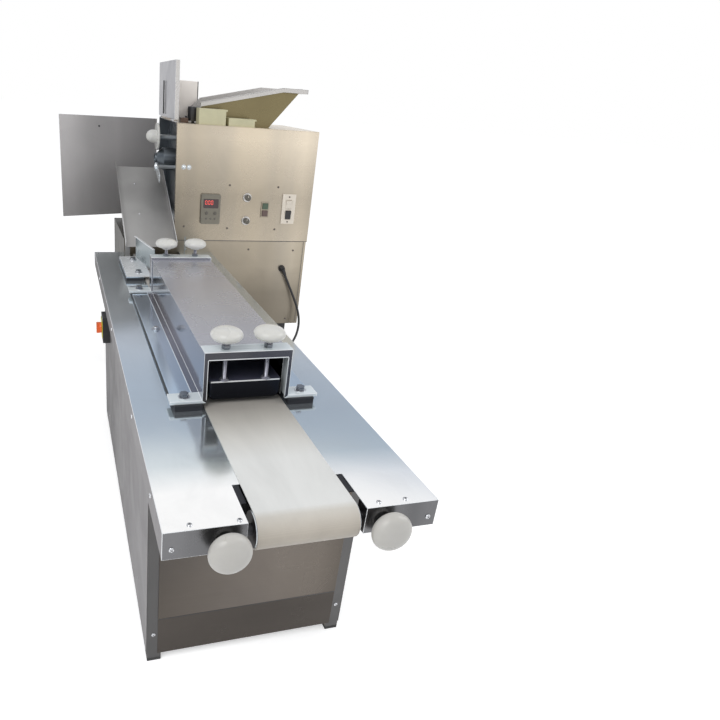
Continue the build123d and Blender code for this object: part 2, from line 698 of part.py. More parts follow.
# Fixed bearing blocks: rear drum under the deck, feed rollers in the roof
with BuildPart() as bearing_blocks:
    for side in (-1, 1):
        block_x = sorted((side * REAR_BLOCK_X[0], side * REAR_BLOCK_X[1]))
        block_y = (REAR_DRUM_Y - BLOCK_L / 2, REAR_DRUM_Y + BLOCK_L / 2)
        slab(block_x, block_y, (DRUM_Z - BLOCK_DEPTH, DECK_UNDER))
        bore_x = sorted((side * (REAR_BLOCK_X[0] - CUT_PAST), side * (REAR_BLOCK_X[1] + CUT_PAST)))
        rod_x(bore_x, REAR_DRUM_Y, DRUM_Z, DRUM_SHAFT_D / 2 + RUN_FIT, Mode.SUBTRACT)
    for roller_x, (x0, x1), top in zip(ROLLER_X, BEARING_X, BEARING_TOPS):
        slab((x0, x1), BEARING_Y, (BEARING_FOOT, top))
        slab((x0, x1 + BEARING_LIP), BEARING_Y, (top - BEARING_LIP, top))
        slab(
            (roller_x - REAR_BEARING_W / 2, roller_x + REAR_BEARING_W / 2),
            REAR_BEARING_Y,
            (BEARING_FOOT, ROOF_UNDER),
        )
        rod_y(
            roller_x,
            (BEARING_Y[0] - CUT_PAST, REAR_BEARING_Y[1] + CUT_PAST),
            ROLLER_Z,
            ROLLER_SHAFT_R + RUN_FIT,
            Mode.SUBTRACT,
        )
keep(bearing_blocks, "bearing_blocks")

# Tension knobs, each on its screw
for side, name in ((-1, "left"), (1, "right")):
    with BuildPart() as tension_knob:
        turned(
            knob_profile(TENSION_KNOB_D, TENSION_KNOB_H, TENSION_HUB_R, TENSION_HUB_H),
            at(side * TENSION_X, -KNOB_STAND_OFF, TENSION_Z),
            (1, 0, 0),
            (0, -1, 0),
        )
        rod_end = FRONT_DRUM_Y + BLOCK_L / 2 + TENSION_ROD_PAST
        rod_y(side * TENSION_X, (-KNOB_STAND_OFF - ROD_IN_KNOB, rod_end), TENSION_Z, TENSION_ROD_D / 2)
    keep(tension_knob, "tension_knob_" + name)

# Sheet tunnel between the two bridges
with BuildPart() as tunnel_cover:
    tunnel_y = (BRIDGE_Y[0] + BRIDGE_D, BRIDGE_Y[1])
    slab((-TUNNEL_X, TUNNEL_X), tunnel_y, (TUNNEL_TOP - SHEET, TUNNEL_TOP))
    for side in (-1, 1):
        wall_x = sorted((side * (TUNNEL_X - SHEET), side * TUNNEL_X))
        slab(wall_x, tunnel_y, (TABLE_H + BELT_T + CLEAR, TUNNEL_TOP))
        flange_x = sorted((side * TUNNEL_X, side * (TUNNEL_X + TUNNEL_FLANGE)))
        slab(flange_x, tunnel_y, (PLATFORM_TOP, PLATFORM_TOP + SHEET))
keep(tunnel_cover, "tunnel_cover")

# Bridges over the belt, with a framed front face
for name, bridge_y in zip(("front", "rear"), BRIDGE_Y):
    with BuildPart() as bridge:
        span_y = (bridge_y, bridge_y + BRIDGE_D)
        slab((-BRIDGE_X, BRIDGE_X), span_y, (BRIDGE_TOP - BRIDGE_T, BRIDGE_TOP))
        face_y = (bridge_y, bridge_y + BRIDGE_T)
        slab((-BRIDGE_X, BRIDGE_X), face_y, (BRIDGE_TOP - BRIDGE_TOP_LIP, BRIDGE_TOP))
        for side in (-1, 1):
            wall_x = sorted((side * (BRIDGE_X - BRIDGE_T), side * BRIDGE_X))
            slab(wall_x, span_y, (PLATFORM_TOP, BRIDGE_TOP))
            lip_x = sorted((side * (BRIDGE_X - BRIDGE_SIDE_LIP), side * BRIDGE_X))
            slab(lip_x, face_y, (PLATFORM_TOP, BRIDGE_TOP))
            foot_x = sorted((side * (BRIDGE_X - BRIDGE_T), side * BRIDGE_FOOT_X))
            slab(foot_x, span_y, (PLATFORM_TOP, PLATFORM_TOP + BRIDGE_FOOT_T))
            rod_z(
                side * PRESS_X,
                bridge_y + BRIDGE_D / 2,
                (BRIDGE_TOP - BRIDGE_T - CUT_PAST, BRIDGE_TOP + CUT_PAST),
                PRESS_ROD_D / 2 + CLEAR,
                Mode.SUBTRACT,
            )
    keep(bridge, name + "_bridge")

# Pressure board that rolls the dough on the belt
with BuildPart() as pressure_board:
    slab((-BOARD_X, BOARD_X), BOARD_Y, BOARD_Z)
    fillet(pressure_board.edges().filter_by(Axis.Y).sort_by(Axis.Z)[:2], BOARD_EDGE_R)
    under = pressure_board.faces().sort_by(Axis.Z)[0]
    nose = under.edges().sort_by(Axis.Y)[0]
    fillet(nose, BOARD_NOSE_R)
    for side in (-1, 1):
        for press_y in PRESS_Y:
            rod_z(
                side * PRESS_X,
                press_y,
                (BOARD_Z[1] - PRESS_GRIP - CUT_PAST, BOARD_Z[1] + CUT_PAST),
                PRESS_ROD_D / 2 + RUN_FIT,
                Mode.SUBTRACT,
            )
keep(pressure_board, "pressure_board")

# Press screws with white knobs, two on each bridge
for name, press_y, knob_z in zip(("front", "rear"), PRESS_Y, PRESS_KNOB_Z):
    for side, hand in ((-1, "left"), (1, "right")):
        with BuildPart() as press_knob:
            turned(
                knob_profile(PRESS_KNOB_D, PRESS_KNOB_H, PRESS_HUB_R, PRESS_HUB_H),
                at(side * PRESS_X, press_y, knob_z),
                (1, 0, 0),
                (0, 0, 1),
            )
            press_rod_z = (BOARD_Z[1] - PRESS_GRIP, knob_z + PRESS_ROD_IN)
            rod_z(side * PRESS_X, press_y, press_rod_z, PRESS_ROD_D / 2)
            collar_z = (BOARD_Z[1] + CLEAR, BOARD_Z[1] + CLEAR + PRESS_COLLAR_H)
            rod_z(side * PRESS_X, press_y, collar_z, PRESS_ROD_D)
        keep(press_knob, f"press_knob_{name}_{hand}")

# Hex bolts on the bridge feet and the guides, and lock nuts round the press screws
with BuildPart() as bridge_bolts:
    foot_bolts = [(BOLT_X, y, PLATFORM_TOP + BRIDGE_FOOT_T) for y in PRESS_Y]
    foot_bolts += [(GUIDE_BOLT_X, y, PLATFORM_TOP + GUIDE_FOOT_T) for y in GUIDE_BOLT_Y]
    for side in (-1, 1):
        for bolt_x, bolt_y, seat in foot_bolts:
            rod_z(side * bolt_x, bolt_y, (seat, seat + WASHER_T), WASHER_D / 2)
            with BuildSketch(Plane(at(side * bolt_x, bolt_y, seat + WASHER_T))):
                RegularPolygon(NUT_AF / 2, 6, major_radius=False)
            extrude(amount=NUT_H)
        for bridge_y in PRESS_Y:
            with BuildSketch(Plane(at(side * PRESS_X, bridge_y, BRIDGE_TOP))):
                RegularPolygon(NUT_AF / 2, 6, major_radius=False)
                Circle(PRESS_ROD_D / 2 + CLEAR, mode=Mode.SUBTRACT)
            extrude(amount=NUT_H)
keep(bridge_bolts, "bridge_bolts")

# Small screws on the aprons and panels, and two dome nuts
with BuildPart() as panel_screws:
    for side in (-1, 1):
        deck_screw_x = side * (TABLE_W / 2 - DECK_SCREW_IN)
        rod_y(deck_screw_x, (-SCREW_H, 0), TABLE_H - DECK_SCREW_DROP, SCREW_R)
        leg_screw_x = side * (BASE_W / 2 - LEG_SCREW_IN)
        rod_y(leg_screw_x, (BASE_Y[0] - SCREW_H, BASE_Y[0]), LEG_SCREW_Z, SCREW_R)
    head_screws = raised(UPPER_SCREWS + LOWER_SCREWS, HEAD_Z[0]) + raised((CABINET_SCREW,), CABINET_Z)
    for screw_x, screw_z in head_screws:
        rod_y(screw_x, (HEAD_Y[0] - SCREW_H, HEAD_Y[0]), screw_z, SCREW_R)
    for nut_x, nut_z in raised(DOME_NUTS, HEAD_Z[0]):
        rod_y(nut_x, (HEAD_Y[0] - DOME_NUT_H, HEAD_Y[0]), nut_z, DOME_NUT_R)
keep(panel_screws, "panel_screws")

# Gear motors: conveyor, auger, cutter and feed rollers
SHAFT_HOLE = MOTOR_SHAFT_D / 2 + RUN_FIT
SEAT_DEPTH = SHAFT_SEAT + SHAFT_SEAT_PAST
with BuildPart() as gear_motors:
    box_y = (MOTOR_Y - GEARBOX / 2, MOTOR_Y + GEARBOX / 2)
    box_z = (MOTOR_Z - GEARBOX / 2, MOTOR_Z + GEARBOX / 2)
    slab(GEARBOX_X, box_y, box_z)
    rod_x((GEARBOX_X[0] - BELT_MOTOR_L, GEARBOX_X[0]), MOTOR_Y, MOTOR_Z, BELT_MOTOR_R)
    bracket_x = (GEARBOX_X[0] + MOTOR_BRACKET_IN, GEARBOX_X[1] - MOTOR_BRACKET_IN)
    bracket_z = (MOTOR_Z - MOTOR_BRACKET_H / 2, MOTOR_Z + MOTOR_BRACKET_H / 2)
    slab(bracket_x, (BASE_Y[1] + SHEET, box_y[0]), bracket_z)
    rod_x((GEARBOX_X[1] - SEAT_DEPTH, GEARBOX_X[1] + CUT_PAST), MOTOR_Y, MOTOR_Z, SHAFT_HOLE, Mode.SUBTRACT)
    drive_x = (AUGER_X[1] + AUGER_DRIVE_GAP, AUGER_X[1] + AUGER_DRIVE_GAP + AUGER_DRIVE_L)
    drive_y = (AUGER_Y - GEARBOX / 2, AUGER_Y + GEARBOX / 2)
    slab(drive_x, drive_y, (AUGER_Z - GEARBOX / 2, AUGER_Z + GEARBOX / 2))
    rod_x((drive_x[1], drive_x[1] + AUGER_MOTOR_L), AUGER_Y, AUGER_Z, AUGER_MOTOR_R)
    stand_x = (drive_x[0] + AUGER_STAND_IN, drive_x[1] - AUGER_STAND_IN)
    stand_y = (AUGER_Y - AUGER_STAND_W / 2, AUGER_Y + AUGER_STAND_W / 2)
    slab(stand_x, stand_y, (HEAD_Z[0], AUGER_Z - GEARBOX / 2))
    auger_seat = (drive_x[0] - CUT_PAST, drive_x[0] + SHAFT_SEAT)
    rod_x(auger_seat, AUGER_Y, AUGER_Z, AUGER_SHAFT_R + RUN_FIT, Mode.SUBTRACT)
    cutter_motor_x = (BULKHEAD_X + BULKHEAD_T, BULKHEAD_X + BULKHEAD_T + CUTTER_MOTOR_L)
    rod_x(cutter_motor_x, CUTTER_Y, CUTTER_Z, CUTTER_MOTOR_R)
    cutter_seat = (cutter_motor_x[0] - CUT_PAST, cutter_motor_x[0] + SHAFT_SEAT)
    rod_x(cutter_seat, CUTTER_Y, CUTTER_Z, CUTTER_SHAFT_R + RUN_FIT, Mode.SUBTRACT)
    pinion_motor_end = GEAR_Y[0] - PINION_MOTOR_GAP
    rod_y(PINION_X, (pinion_motor_end - PINION_MOTOR_L, pinion_motor_end), PINION_Z, PINION_MOTOR_R)
    stand_x = (PINION_X - PINION_STAND_W / 2, PINION_X + PINION_STAND_W / 2)
    stand_end = GEAR_Y[0] - PINION_STAND_GAP
    slab(stand_x, (stand_end - PINION_STAND_L, stand_end), (HEAD_Z[0], PINION_Z - PINION_STAND_GAP))
    pinion_seat = (pinion_motor_end - SHAFT_SEAT, pinion_motor_end + CUT_PAST)
    rod_y(PINION_X, pinion_seat, PINION_Z, SHAFT_HOLE, Mode.SUBTRACT)
keep(gear_motors, "gear_motors")

# Chain wheel on the conveyor motor and the chain to the rear drum
with BuildPart() as motor_sprocket:
    rod_x((GEARBOX_X[1] - SHAFT_SEAT, SPROCKET_X[1] + SHAFT_PAST), MOTOR_Y, MOTOR_Z, MOTOR_SHAFT_D / 2)
    toothed_x(SPROCKET_X, MOTOR_Y, MOTOR_Z)
keep(motor_sprocket, "motor_sprocket")

CHAIN_SPAN = hypot(REAR_DRUM_Y - MOTOR_Y, DRUM_Z - MOTOR_Z)
CHAIN_TURN = degrees(asin((DRUM_Z - MOTOR_Z) / CHAIN_SPAN))
with BuildPart() as drive_chain:
    chain_at = at(SPROCKET_X[0] + CHAIN_INSET, (REAR_DRUM_Y + MOTOR_Y) / 2, (DRUM_Z + MOTOR_Z) / 2)
    with BuildSketch(Plane(chain_at, x_dir=(0, 1, 0), z_dir=(1, 0, 0))):
        SlotCenterToCenter(CHAIN_SPAN, 2 * (SPROCKET_TIP + CLEAR + CHAIN_T), rotation=CHAIN_TURN)
        SlotCenterToCenter(CHAIN_SPAN, 2 * (SPROCKET_TIP + CLEAR), rotation=CHAIN_TURN, mode=Mode.SUBTRACT)
    extrude(amount=SPROCKET_X[1] - SPROCKET_X[0] - 2 * CHAIN_INSET)
keep(drive_chain, "drive_chain")

# Isolator switch on the left of the base
ISOLATOR_X = -BASE_W / 2 - SHEET
ISOLATOR_FACE = ISOLATOR_X - ISOLATOR_SIZE[0]
with BuildPart() as isolator_box:
    box_y = (ISOLATOR_Y - ISOLATOR_SIZE[1] / 2, ISOLATOR_Y + ISOLATOR_SIZE[1] / 2)
    box_z = (ISOLATOR_Z - ISOLATOR_SIZE[2] / 2, ISOLATOR_Z + ISOLATOR_SIZE[2] / 2)
    slab((ISOLATOR_FACE, ISOLATOR_X), box_y, box_z)
    stem_hole = (ISOLATOR_FACE - CUT_PAST, ISOLATOR_FACE + ISOLATOR_STEM_L + SHAFT_SEAT_PAST)
    rod_x(stem_hole, ISOLATOR_Y, ISOLATOR_Z, ISOLATOR_STEM_R + RUN_FIT, Mode.SUBTRACT)
keep(isolator_box, "isolator_box")

with BuildPart() as isolator_handle:
    hub_x = (ISOLATOR_FACE - ISOLATOR_HUB_H, ISOLATOR_FACE - CLEAR)
    rod_x(hub_x, ISOLATOR_Y, ISOLATOR_Z, ISOLATOR_HANDLE_D / 2)
    slab(
        (ISOLATOR_FACE - ISOLATOR_GRIP[0], ISOLATOR_FACE - ISOLATOR_GRIP[1]),
        (ISOLATOR_Y - ISOLATOR_GRIP_W / 2, ISOLATOR_Y + ISOLATOR_GRIP_W / 2),
        (ISOLATOR_Z - ISOLATOR_HANDLE_D / 2, ISOLATOR_Z + ISOLATOR_HANDLE_D / 2),
    )
    rod_x((hub_x[0], ISOLATOR_FACE + ISOLATOR_STEM_L), ISOLATOR_Y, ISOLATOR_Z, ISOLATOR_STEM_R)
keep(isolator_handle, "isolator_handle")

# Black legs of the head
with BuildPart() as head_legs:
    for leg_x in HEAD_LEG_X:
        for leg_y in HEAD_LEG_Y:
            slab((leg_x, leg_x + HEAD_LEG), (leg_y, leg_y + HEAD_LEG), (HEAD_FOOT_H, CABINET_Z))
keep(head_legs, "head_legs")

# Lower cabinet, open to the front where its panel goes
CABINET_TOP = HEAD_Z[0] - SHEET
with BuildPart() as lower_cabinet:
    slab(CABINET_X, HEAD_Y, (CABINET_Z, HEAD_Z[0]))
    slab(
        (CABINET_X[0] + SHEET, CABINET_X[1] - SHEET),
        (HEAD_Y[0] - CUT_PAST, HEAD_Y[1] - SHEET),
        (CABINET_Z + SHEET, CABINET_TOP),
        Mode.SUBTRACT,
    )
    slab((CABINET_X[1] - CORNER_RETURN, CABINET_X[1]), (HEAD_Y[0], HEAD_Y[0] + SHEET), (CABINET_Z, HEAD_Z[0]))
    slab((HEAD_X[0], HEAD_X[1]), HEAD_Y, (CABINET_TOP, HEAD_Z[0]))
keep(lower_cabinet, "lower_cabinet")

with BuildPart() as lower_front_panel:
    panel_x = (CABINET_X[0] + SHEET, CABINET_X[1] - CORNER_RETURN)
    slab(panel_x, (HEAD_Y[0], HEAD_Y[0] + SHEET), (CABINET_Z + SHEET, CABINET_TOP))
keep(lower_front_panel, "lower_front_panel")

# Panels of the upper box
DIAL_HOLE = DIAL_SHAFT_R + RUN_FIT
with BuildPart() as head_front_panel:
    slab(HEAD_X, (HEAD_Y[0], HEAD_Y[0] + SHEET), (HEAD_Z[0], ROOF_UNDER))
    slab((HEAD_X[0], HEAD_X[0] + SHEET), (HEAD_Y[0], HEAD_Y[0] + LEFT_RETURN), (HEAD_Z[0], ROOF_UNDER))
    for dial_x, dial_z in DIALS:
        rod_y(dial_x, (HEAD_Y[0] - CUT_PAST, HEAD_Y[0] + SHEET + CUT_PAST), dial_z, DIAL_HOLE, Mode.SUBTRACT)
keep(head_front_panel, "head_front_panel")

with BuildPart() as head_right_panel:
    slab((HEAD_X[1] - SHEET, HEAD_X[1]), (HEAD_Y[0] + SHEET, HEAD_Y[1]), (HEAD_Z[0], ROOF_UNDER))
keep(head_right_panel, "head_right_panel")

with BuildPart() as head_rear_frame:
    slab((HEAD_X[0], HEAD_X[1] - SHEET), (HEAD_Y[1] - SHEET, HEAD_Y[1]), (HEAD_Z[0], ROOF_UNDER))
    slab(DOOR_HOLE_X, (HEAD_Y[1] - SHEET - CUT_PAST, HEAD_Y[1] + CUT_PAST), DOOR_HOLE_Z, Mode.SUBTRACT)
keep(head_rear_frame, "head_rear_frame")

with BuildPart() as bulkhead:
    inner_y = (HEAD_Y[0] + SHEET, HEAD_Y[1] - SHEET)
    slab((BULKHEAD_X, BULKHEAD_X + BULKHEAD_T), inner_y, (HEAD_Z[0], ROOF_UNDER))
    bulkhead_cut = (BULKHEAD_X - CUT_PAST, BULKHEAD_X + BULKHEAD_T + CUT_PAST)
    rod_x(bulkhead_cut, AUGER_Y, AUGER_Z, BARREL_R, Mode.SUBTRACT)
    rod_x((BULKHEAD_X, BULKHEAD_X + WHEEL_BOSS_L), AUGER_Y, WHEEL_Z, WHEEL_SHAFT_R + WHEEL_BOSS_WALL)
    boss_cut = (BULKHEAD_X - CUT_PAST, BULKHEAD_X + WHEEL_BOSS_L + CUT_PAST)
    rod_x(boss_cut, AUGER_Y, WHEEL_Z, WHEEL_SHAFT_R + RUN_FIT, Mode.SUBTRACT)
    rod_x(bulkhead_cut, CUTTER_Y, CUTTER_Z, CUTTER_SHAFT_R + RUN_FIT, Mode.SUBTRACT)
keep(bulkhead, "bulkhead")

with BuildPart() as head_roof:
    slab(HEAD_X, HEAD_Y, (ROOF_UNDER, HEAD_Z[1]))
    roof_cut = (ROOF_UNDER - CUT_PAST, HEAD_Z[1] + CUT_PAST)
    roller_cut = (ROLLER_Y[0] - ROLLER_ROOF_GAP, ROLLER_Y[1] + ROLLER_ROOF_GAP)
    slab(ROOF_HOLE_X, roller_cut, roof_cut, Mode.SUBTRACT)
    slab(GEAR_HOLE_X, (GEAR_Y[0] - GEAR_ROOF_GAP, GEAR_Y[1] + GEAR_ROOF_GAP), roof_cut, Mode.SUBTRACT)
    for bearing_x in BEARING_X:
        slab(bearing_x, BEARING_Y, roof_cut, Mode.SUBTRACT)
    rod_z(GAP_KNOB_X, GAP_KNOB_Y, roof_cut, GAP_STEM_R + RUN_FIT, Mode.SUBTRACT)
keep(head_roof, "head_roof")

# Rear door, drawn from its hinge pin in the open position
DOOR_DIR = (cos(radians(DOOR_OPEN)), sin(radians(DOOR_OPEN)), 0)
DOOR_FACE = -DOOR_AXIS_OUT[1] + DOOR_GAP
DOOR_EDGE = -DOOR_AXIS_OUT[0]
with BuildPart() as rear_door:
    with BuildSketch(Plane(at(*DOOR_AXIS, DOOR_Z[0]), x_dir=DOOR_DIR, z_dir=(0, 0, 1))):
        with Locations(((DOOR_EDGE + DOOR_W) / 2, DOOR_FACE + SHEET / 2)):
            Rectangle(DOOR_W - DOOR_EDGE, SHEET)
    extrude(amount=DOOR_Z[1] - DOOR_Z[0])
    for knuckle_z in DOOR_KNUCKLES:
        with BuildSketch(Plane(at(*DOOR_AXIS, knuckle_z), x_dir=DOOR_DIR, z_dir=(0, 0, 1))):
            Circle(DOOR_BARREL_R)
            with Locations((DOOR_EDGE / 2, DOOR_FACE + SHEET / 2 + 0.5)):
                Rectangle(DOOR_EDGE + 0.2, SHEET + 1)
            Circle(DOOR_PIN_R + RUN_FIT, mode=Mode.SUBTRACT)
        extrude(amount=KNUCKLE_L)
keep(rear_door, "rear_door")

# Fixed hinge leaves with their pins, for the door and the lid
with BuildPart() as hinge_pins:
    for knuckle_z in DOOR_KNUCKLES:
        rod_z(*DOOR_AXIS, (knuckle_z - KNUCKLE_L, knuckle_z - CLEAR), DOOR_BARREL_R)
        rod_z(*DOOR_AXIS, (knuckle_z - CLEAR, knuckle_z + KNUCKLE_L), DOOR_PIN_R)
        leaf_x = (DOOR_AXIS[0], HEAD_X[0] + LEAF_L)
        slab(leaf_x, (HEAD_Y[1], HEAD_Y[1] + LEAF_T), (knuckle_z - KNUCKLE_L, knuckle_z - CLEAR))
        slab(
            (DOOR_AXIS[0] - LEAF_WEB / 2, DOOR_AXIS[0] + LEAF_WEB / 2),
            (HEAD_Y[1], DOOR_AXIS[1]),
            (knuckle_z - KNUCKLE_L, knuckle_z - CLEAR),
        )
    lid_x, lid_z = LID_AXIS
    for knuckle_y in LID_KNUCKLES:
        rod_y(lid_x, (knuckle_y - KNUCKLE_L, knuckle_y - CLEAR), lid_z, LID_BARREL_R)
        rod_y(lid_x, (knuckle_y - CLEAR, knuckle_y + KNUCKLE_L), lid_z, LID_PIN_R)
        leaf_x = (lid_x, HEAD_X[0] + LEAF_L)
        slab(leaf_x, (knuckle_y - KNUCKLE_L, knuckle_y - CLEAR), (HEAD_Z[1], HEAD_Z[1] + SHEET))
keep(hinge_pins, "hinge_pins")

# Guard lid, upright on the roof's left edge
LID_X = (lid_x + LID_BARREL_R - LID_T, lid_x + LID_BARREL_R)
LID_FOOT = lid_z + LID_BARREL_R + LID_FOOT_GAP
with BuildPart() as guard_lid:
    slab(LID_X, LID_Y, (LID_FOOT, LID_TOP))
    slab((LID_X[0], LID_X[0] + LID_FLANGE), LID_Y, (LID_TOP - LID_T, LID_TOP))
    for flange_y in (LID_Y[0], LID_Y[1] - LID_T):
        slab((LID_X[0], LID_X[0] + LID_FLANGE), (flange_y, flange_y + LID_T), (LID_FOOT, LID_TOP))
    slab(
        (LID_X[0] - CUT_PAST, LID_X[1] + CUT_PAST),
        (LID_SLOT_Y - LID_SLOT_W / 2, LID_SLOT_Y + LID_SLOT_W / 2),
        LID_SLOT_Z,
        Mode.SUBTRACT,
    )
    for knuckle_y in LID_KNUCKLES:
        barrel_y = (knuckle_y, knuckle_y + KNUCKLE_L)
        rod_y(lid_x, barrel_y, lid_z, LID_BARREL_R)
        slab(LID_X, barrel_y, (lid_z, LID_FOOT))
        pin_cut = (knuckle_y - CUT_PAST, knuckle_y + KNUCKLE_L + CUT_PAST)
        rod_y(lid_x, pin_cut, lid_z, LID_PIN_R + RUN_FIT, Mode.SUBTRACT)
keep(guard_lid, "guard_lid")

# Hopper of folded sheet with an outward lip, its far wall cut low at the left end
with BuildPart() as hopper:
    wall = raised(HOPPER_WALL, HEAD_Z[1])
    left_end = raised(HOPPER_LEFT, HEAD_Z[1])
    rim_slope = (wall[3][1] - wall[4][1]) / (wall[3][0] - wall[4][0])
    far_tip = (wall[4][0] + HOPPER_FAR_IN, wall[4][1] + HOPPER_FAR_IN * rim_slope)
    far_wall = wall[:4] + (far_tip, left_end[1])
    lip_y = (HOPPER_Y[0] - HOPPER_LIP, HOPPER_Y[1] + HOPPER_LIP)
    near_rim = (lip_y[0], HOPPER_Y[0] + SHEET)
    far_rim = (HOPPER_Y[1] - SHEET, lip_y[1])
    for outline, wall_y, rim_y in ((wall, HOPPER_Y[0], near_rim), (far_wall, far_rim[0], far_rim)):
        with BuildSketch(Plane(at(0, wall_y, 0), x_dir=(1, 0, 0), z_dir=(0, -1, 0))):
            Polygon(*outline, align=None)
        extrude(amount=-SHEET)
        sheet_band((outline[4], outline[3]), rim_y, -SHEET)
        sheet_band((outline[3], outline[2]), rim_y, -SHEET)
    sheet_band(raised(HOPPER_FLOOR, HEAD_Z[1]), HOPPER_Y, SHEET)
    sheet_band(left_end, HOPPER_Y, SHEET)
    right_x, right_z = wall[2]
    slab((right_x - SHEET, right_x + HOPPER_END_LIP), lip_y, (right_z - SHEET, right_z))
keep(hopper, "hopper")

# Feed rollers, geared to each other, and the pinion that drives them
for name, roller_x, gear_turn in zip(("left", "right"), ROLLER_X, (0.0, 180.0 / GEAR_TEETH)):
    with BuildPart() as feed_roller:
        rod_y(roller_x, ROLLER_Y, ROLLER_Z, ROLLER_R)
        rod_y(roller_x, ROLLER_SHAFT_Y, ROLLER_Z, ROLLER_SHAFT_R)
        toothed_y(roller_x, GEAR_Y, ROLLER_Z, GEAR_TEETH, GEAR_R, GEAR_MODULE, gear_turn)
    keep(feed_roller, "feed_roller_" + name)

with BuildPart() as feed_pinion:
    pinion_shaft = (GEAR_Y[0] - PINION_MOTOR_GAP - SHAFT_SEAT + SHAFT_SEAT_PAST, GEAR_Y[1] + PINION_PAST)
    rod_y(PINION_X, pinion_shaft, PINION_Z, MOTOR_SHAFT_D / 2)
    pinion_turn = PINION_ANGLE + 180 + 360.0 / PINION_TEETH
    toothed_y(PINION_X, GEAR_Y, PINION_Z, PINION_TEETH, PINION_R, GEAR_MODULE, pinion_turn)
keep(feed_pinion, "feed_pinion")

# Auger with its helical blade
with BuildPart() as auger:
    auger_end = AUGER_X[1] + AUGER_DRIVE_GAP + SHAFT_SEAT - SHAFT_SEAT_PAST
    rod_x((AUGER_X[0], auger_end), AUGER_Y, AUGER_Z, AUGER_SHAFT_R)
    blade_mid = (AUGER_R + AUGER_SHAFT_R) / 2
    blade_l = AUGER_X[1] - AUGER_X[0] - 2 * AUGER_BLADE_T
    blade_at = at(AUGER_X[0] + AUGER_BLADE_T, AUGER_Y, AUGER_Z)
    with BuildLine() as blade_path:
        Helix(AUGER_PITCH, blade_l, blade_mid, center=blade_at, direction=(1, 0, 0))
    blade_start = blade_path.line @ 0
    blade_out = (blade_start - Vector(*blade_at)).normalized()
    with BuildSketch(Plane(blade_start, x_dir=blade_out, z_dir=blade_path.line % 0)):
        Rectangle(AUGER_R - AUGER_SHAFT_R + BLADE_SINK, AUGER_BLADE_T)
    sweep(path=blade_path.line, is_frenet=True)
keep(auger, "auger")

# Barrel with an inlet under the rollers and a nozzle at its left end
with BuildPart() as auger_barrel:
    barrel_axis = at(0, AUGER_Y, AUGER_Z)
    inner = BARREL_R - BARREL_WALL
    section = (
        (NOZZLE_BORE, NOZZLE_X),
        (NOZZLE_R, NOZZLE_X),
        (NOZZLE_R, NOZZLE_X + NOZZLE_LIP),
        (BARREL_R, BARREL_X[0]),
        (BARREL_R, BARREL_X[1]),
        (inner, BARREL_X[1]),
        (inner, BARREL_X[0] + BARREL_WALL / 2),
        (NOZZLE_BORE, NOZZLE_X + NOZZLE_LIP + BARREL_WALL),
    )
    turned(section, barrel_axis, (0, 0, 1), (1, 0, 0))
    inlet_z = (AUGER_Z, AUGER_Z + BARREL_R + CUT_PAST)
    slab(INLET_X, (AUGER_Y - INLET_HALF, AUGER_Y + INLET_HALF), inlet_z, Mode.SUBTRACT)
    rod_x((BARREL_X[1] - BARREL_CAP, BARREL_X[1]), AUGER_Y, AUGER_Z, inner)
    cap_cut = (BARREL_X[1] - BARREL_CAP - CUT_PAST, BARREL_X[1] + CUT_PAST)
    rod_x(cap_cut, AUGER_Y, AUGER_Z, AUGER_SHAFT_R + RUN_FIT, Mode.SUBTRACT)
keep(auger_barrel, "auger_barrel")

# White hand wheel with a domed grip on the feed shaft
with BuildPart() as hand_wheel:
    near_x, far_x = WHEEL_DISC_X
    neck_x = near_x - WHEEL_NECK
    dome = tuple(
        (WHEEL_GRIP_R * sin(radians(a)), neck_x - (neck_x - WHEEL_GRIP_X) * cos(radians(a)))
        for a in (0, 20, 40, 60, 75, 90)
    )
    face = ((WHEEL_GRIP_R, near_x), (WHEEL_R - WHEEL_RIM, near_x))
    rim = ((WHEEL_R, near_x + WHEEL_RIM), (WHEEL_R, far_x), (0, far_x))
    turned(dome + face + rim, at(0, AUGER_Y, WHEEL_Z), (0, 0, 1), (1, 0, 0))
    rod_x((near_x + WHEEL_RIM, BULKHEAD_X + WHEEL_BOSS_L - SHAFT_SEAT_PAST), AUGER_Y, WHEEL_Z, WHEEL_SHAFT_R)
keep(hand_wheel, "hand_wheel")

# Rotary cutter that passes in front of the nozzle
with BuildPart() as cutter:
    shaft_x = (CUTTER_X[0] - CUTTER_SHAFT_PAST, BULKHEAD_X + BULKHEAD_T + SHAFT_SEAT - SHAFT_SEAT_PAST)
    rod_x(shaft_x, CUTTER_Y, CUTTER_Z, CUTTER_SHAFT_R)
    rod_x((CUTTER_X[0] - CUTTER_HUB_PAST, CUTTER_X[1] + CUTTER_HUB_PAST), CUTTER_Y, CUTTER_Z, CUTTER_HUB_R)
    blade_dir = (0, cos(radians(CUTTER_REST)), sin(radians(CUTTER_REST)))
    with BuildSketch(Plane(at(CUTTER_X[0], CUTTER_Y, CUTTER_Z), x_dir=blade_dir, z_dir=(1, 0, 0))):
        with Locations((CUTTER_R / 2, 0)):
            Rectangle(CUTTER_R, CUTTER_W)
        Circle(CUTTER_R, mode=Mode.INTERSECT)
    extrude(amount=CUTTER_X[1] - CUTTER_X[0])
keep(cutter, "cutter")

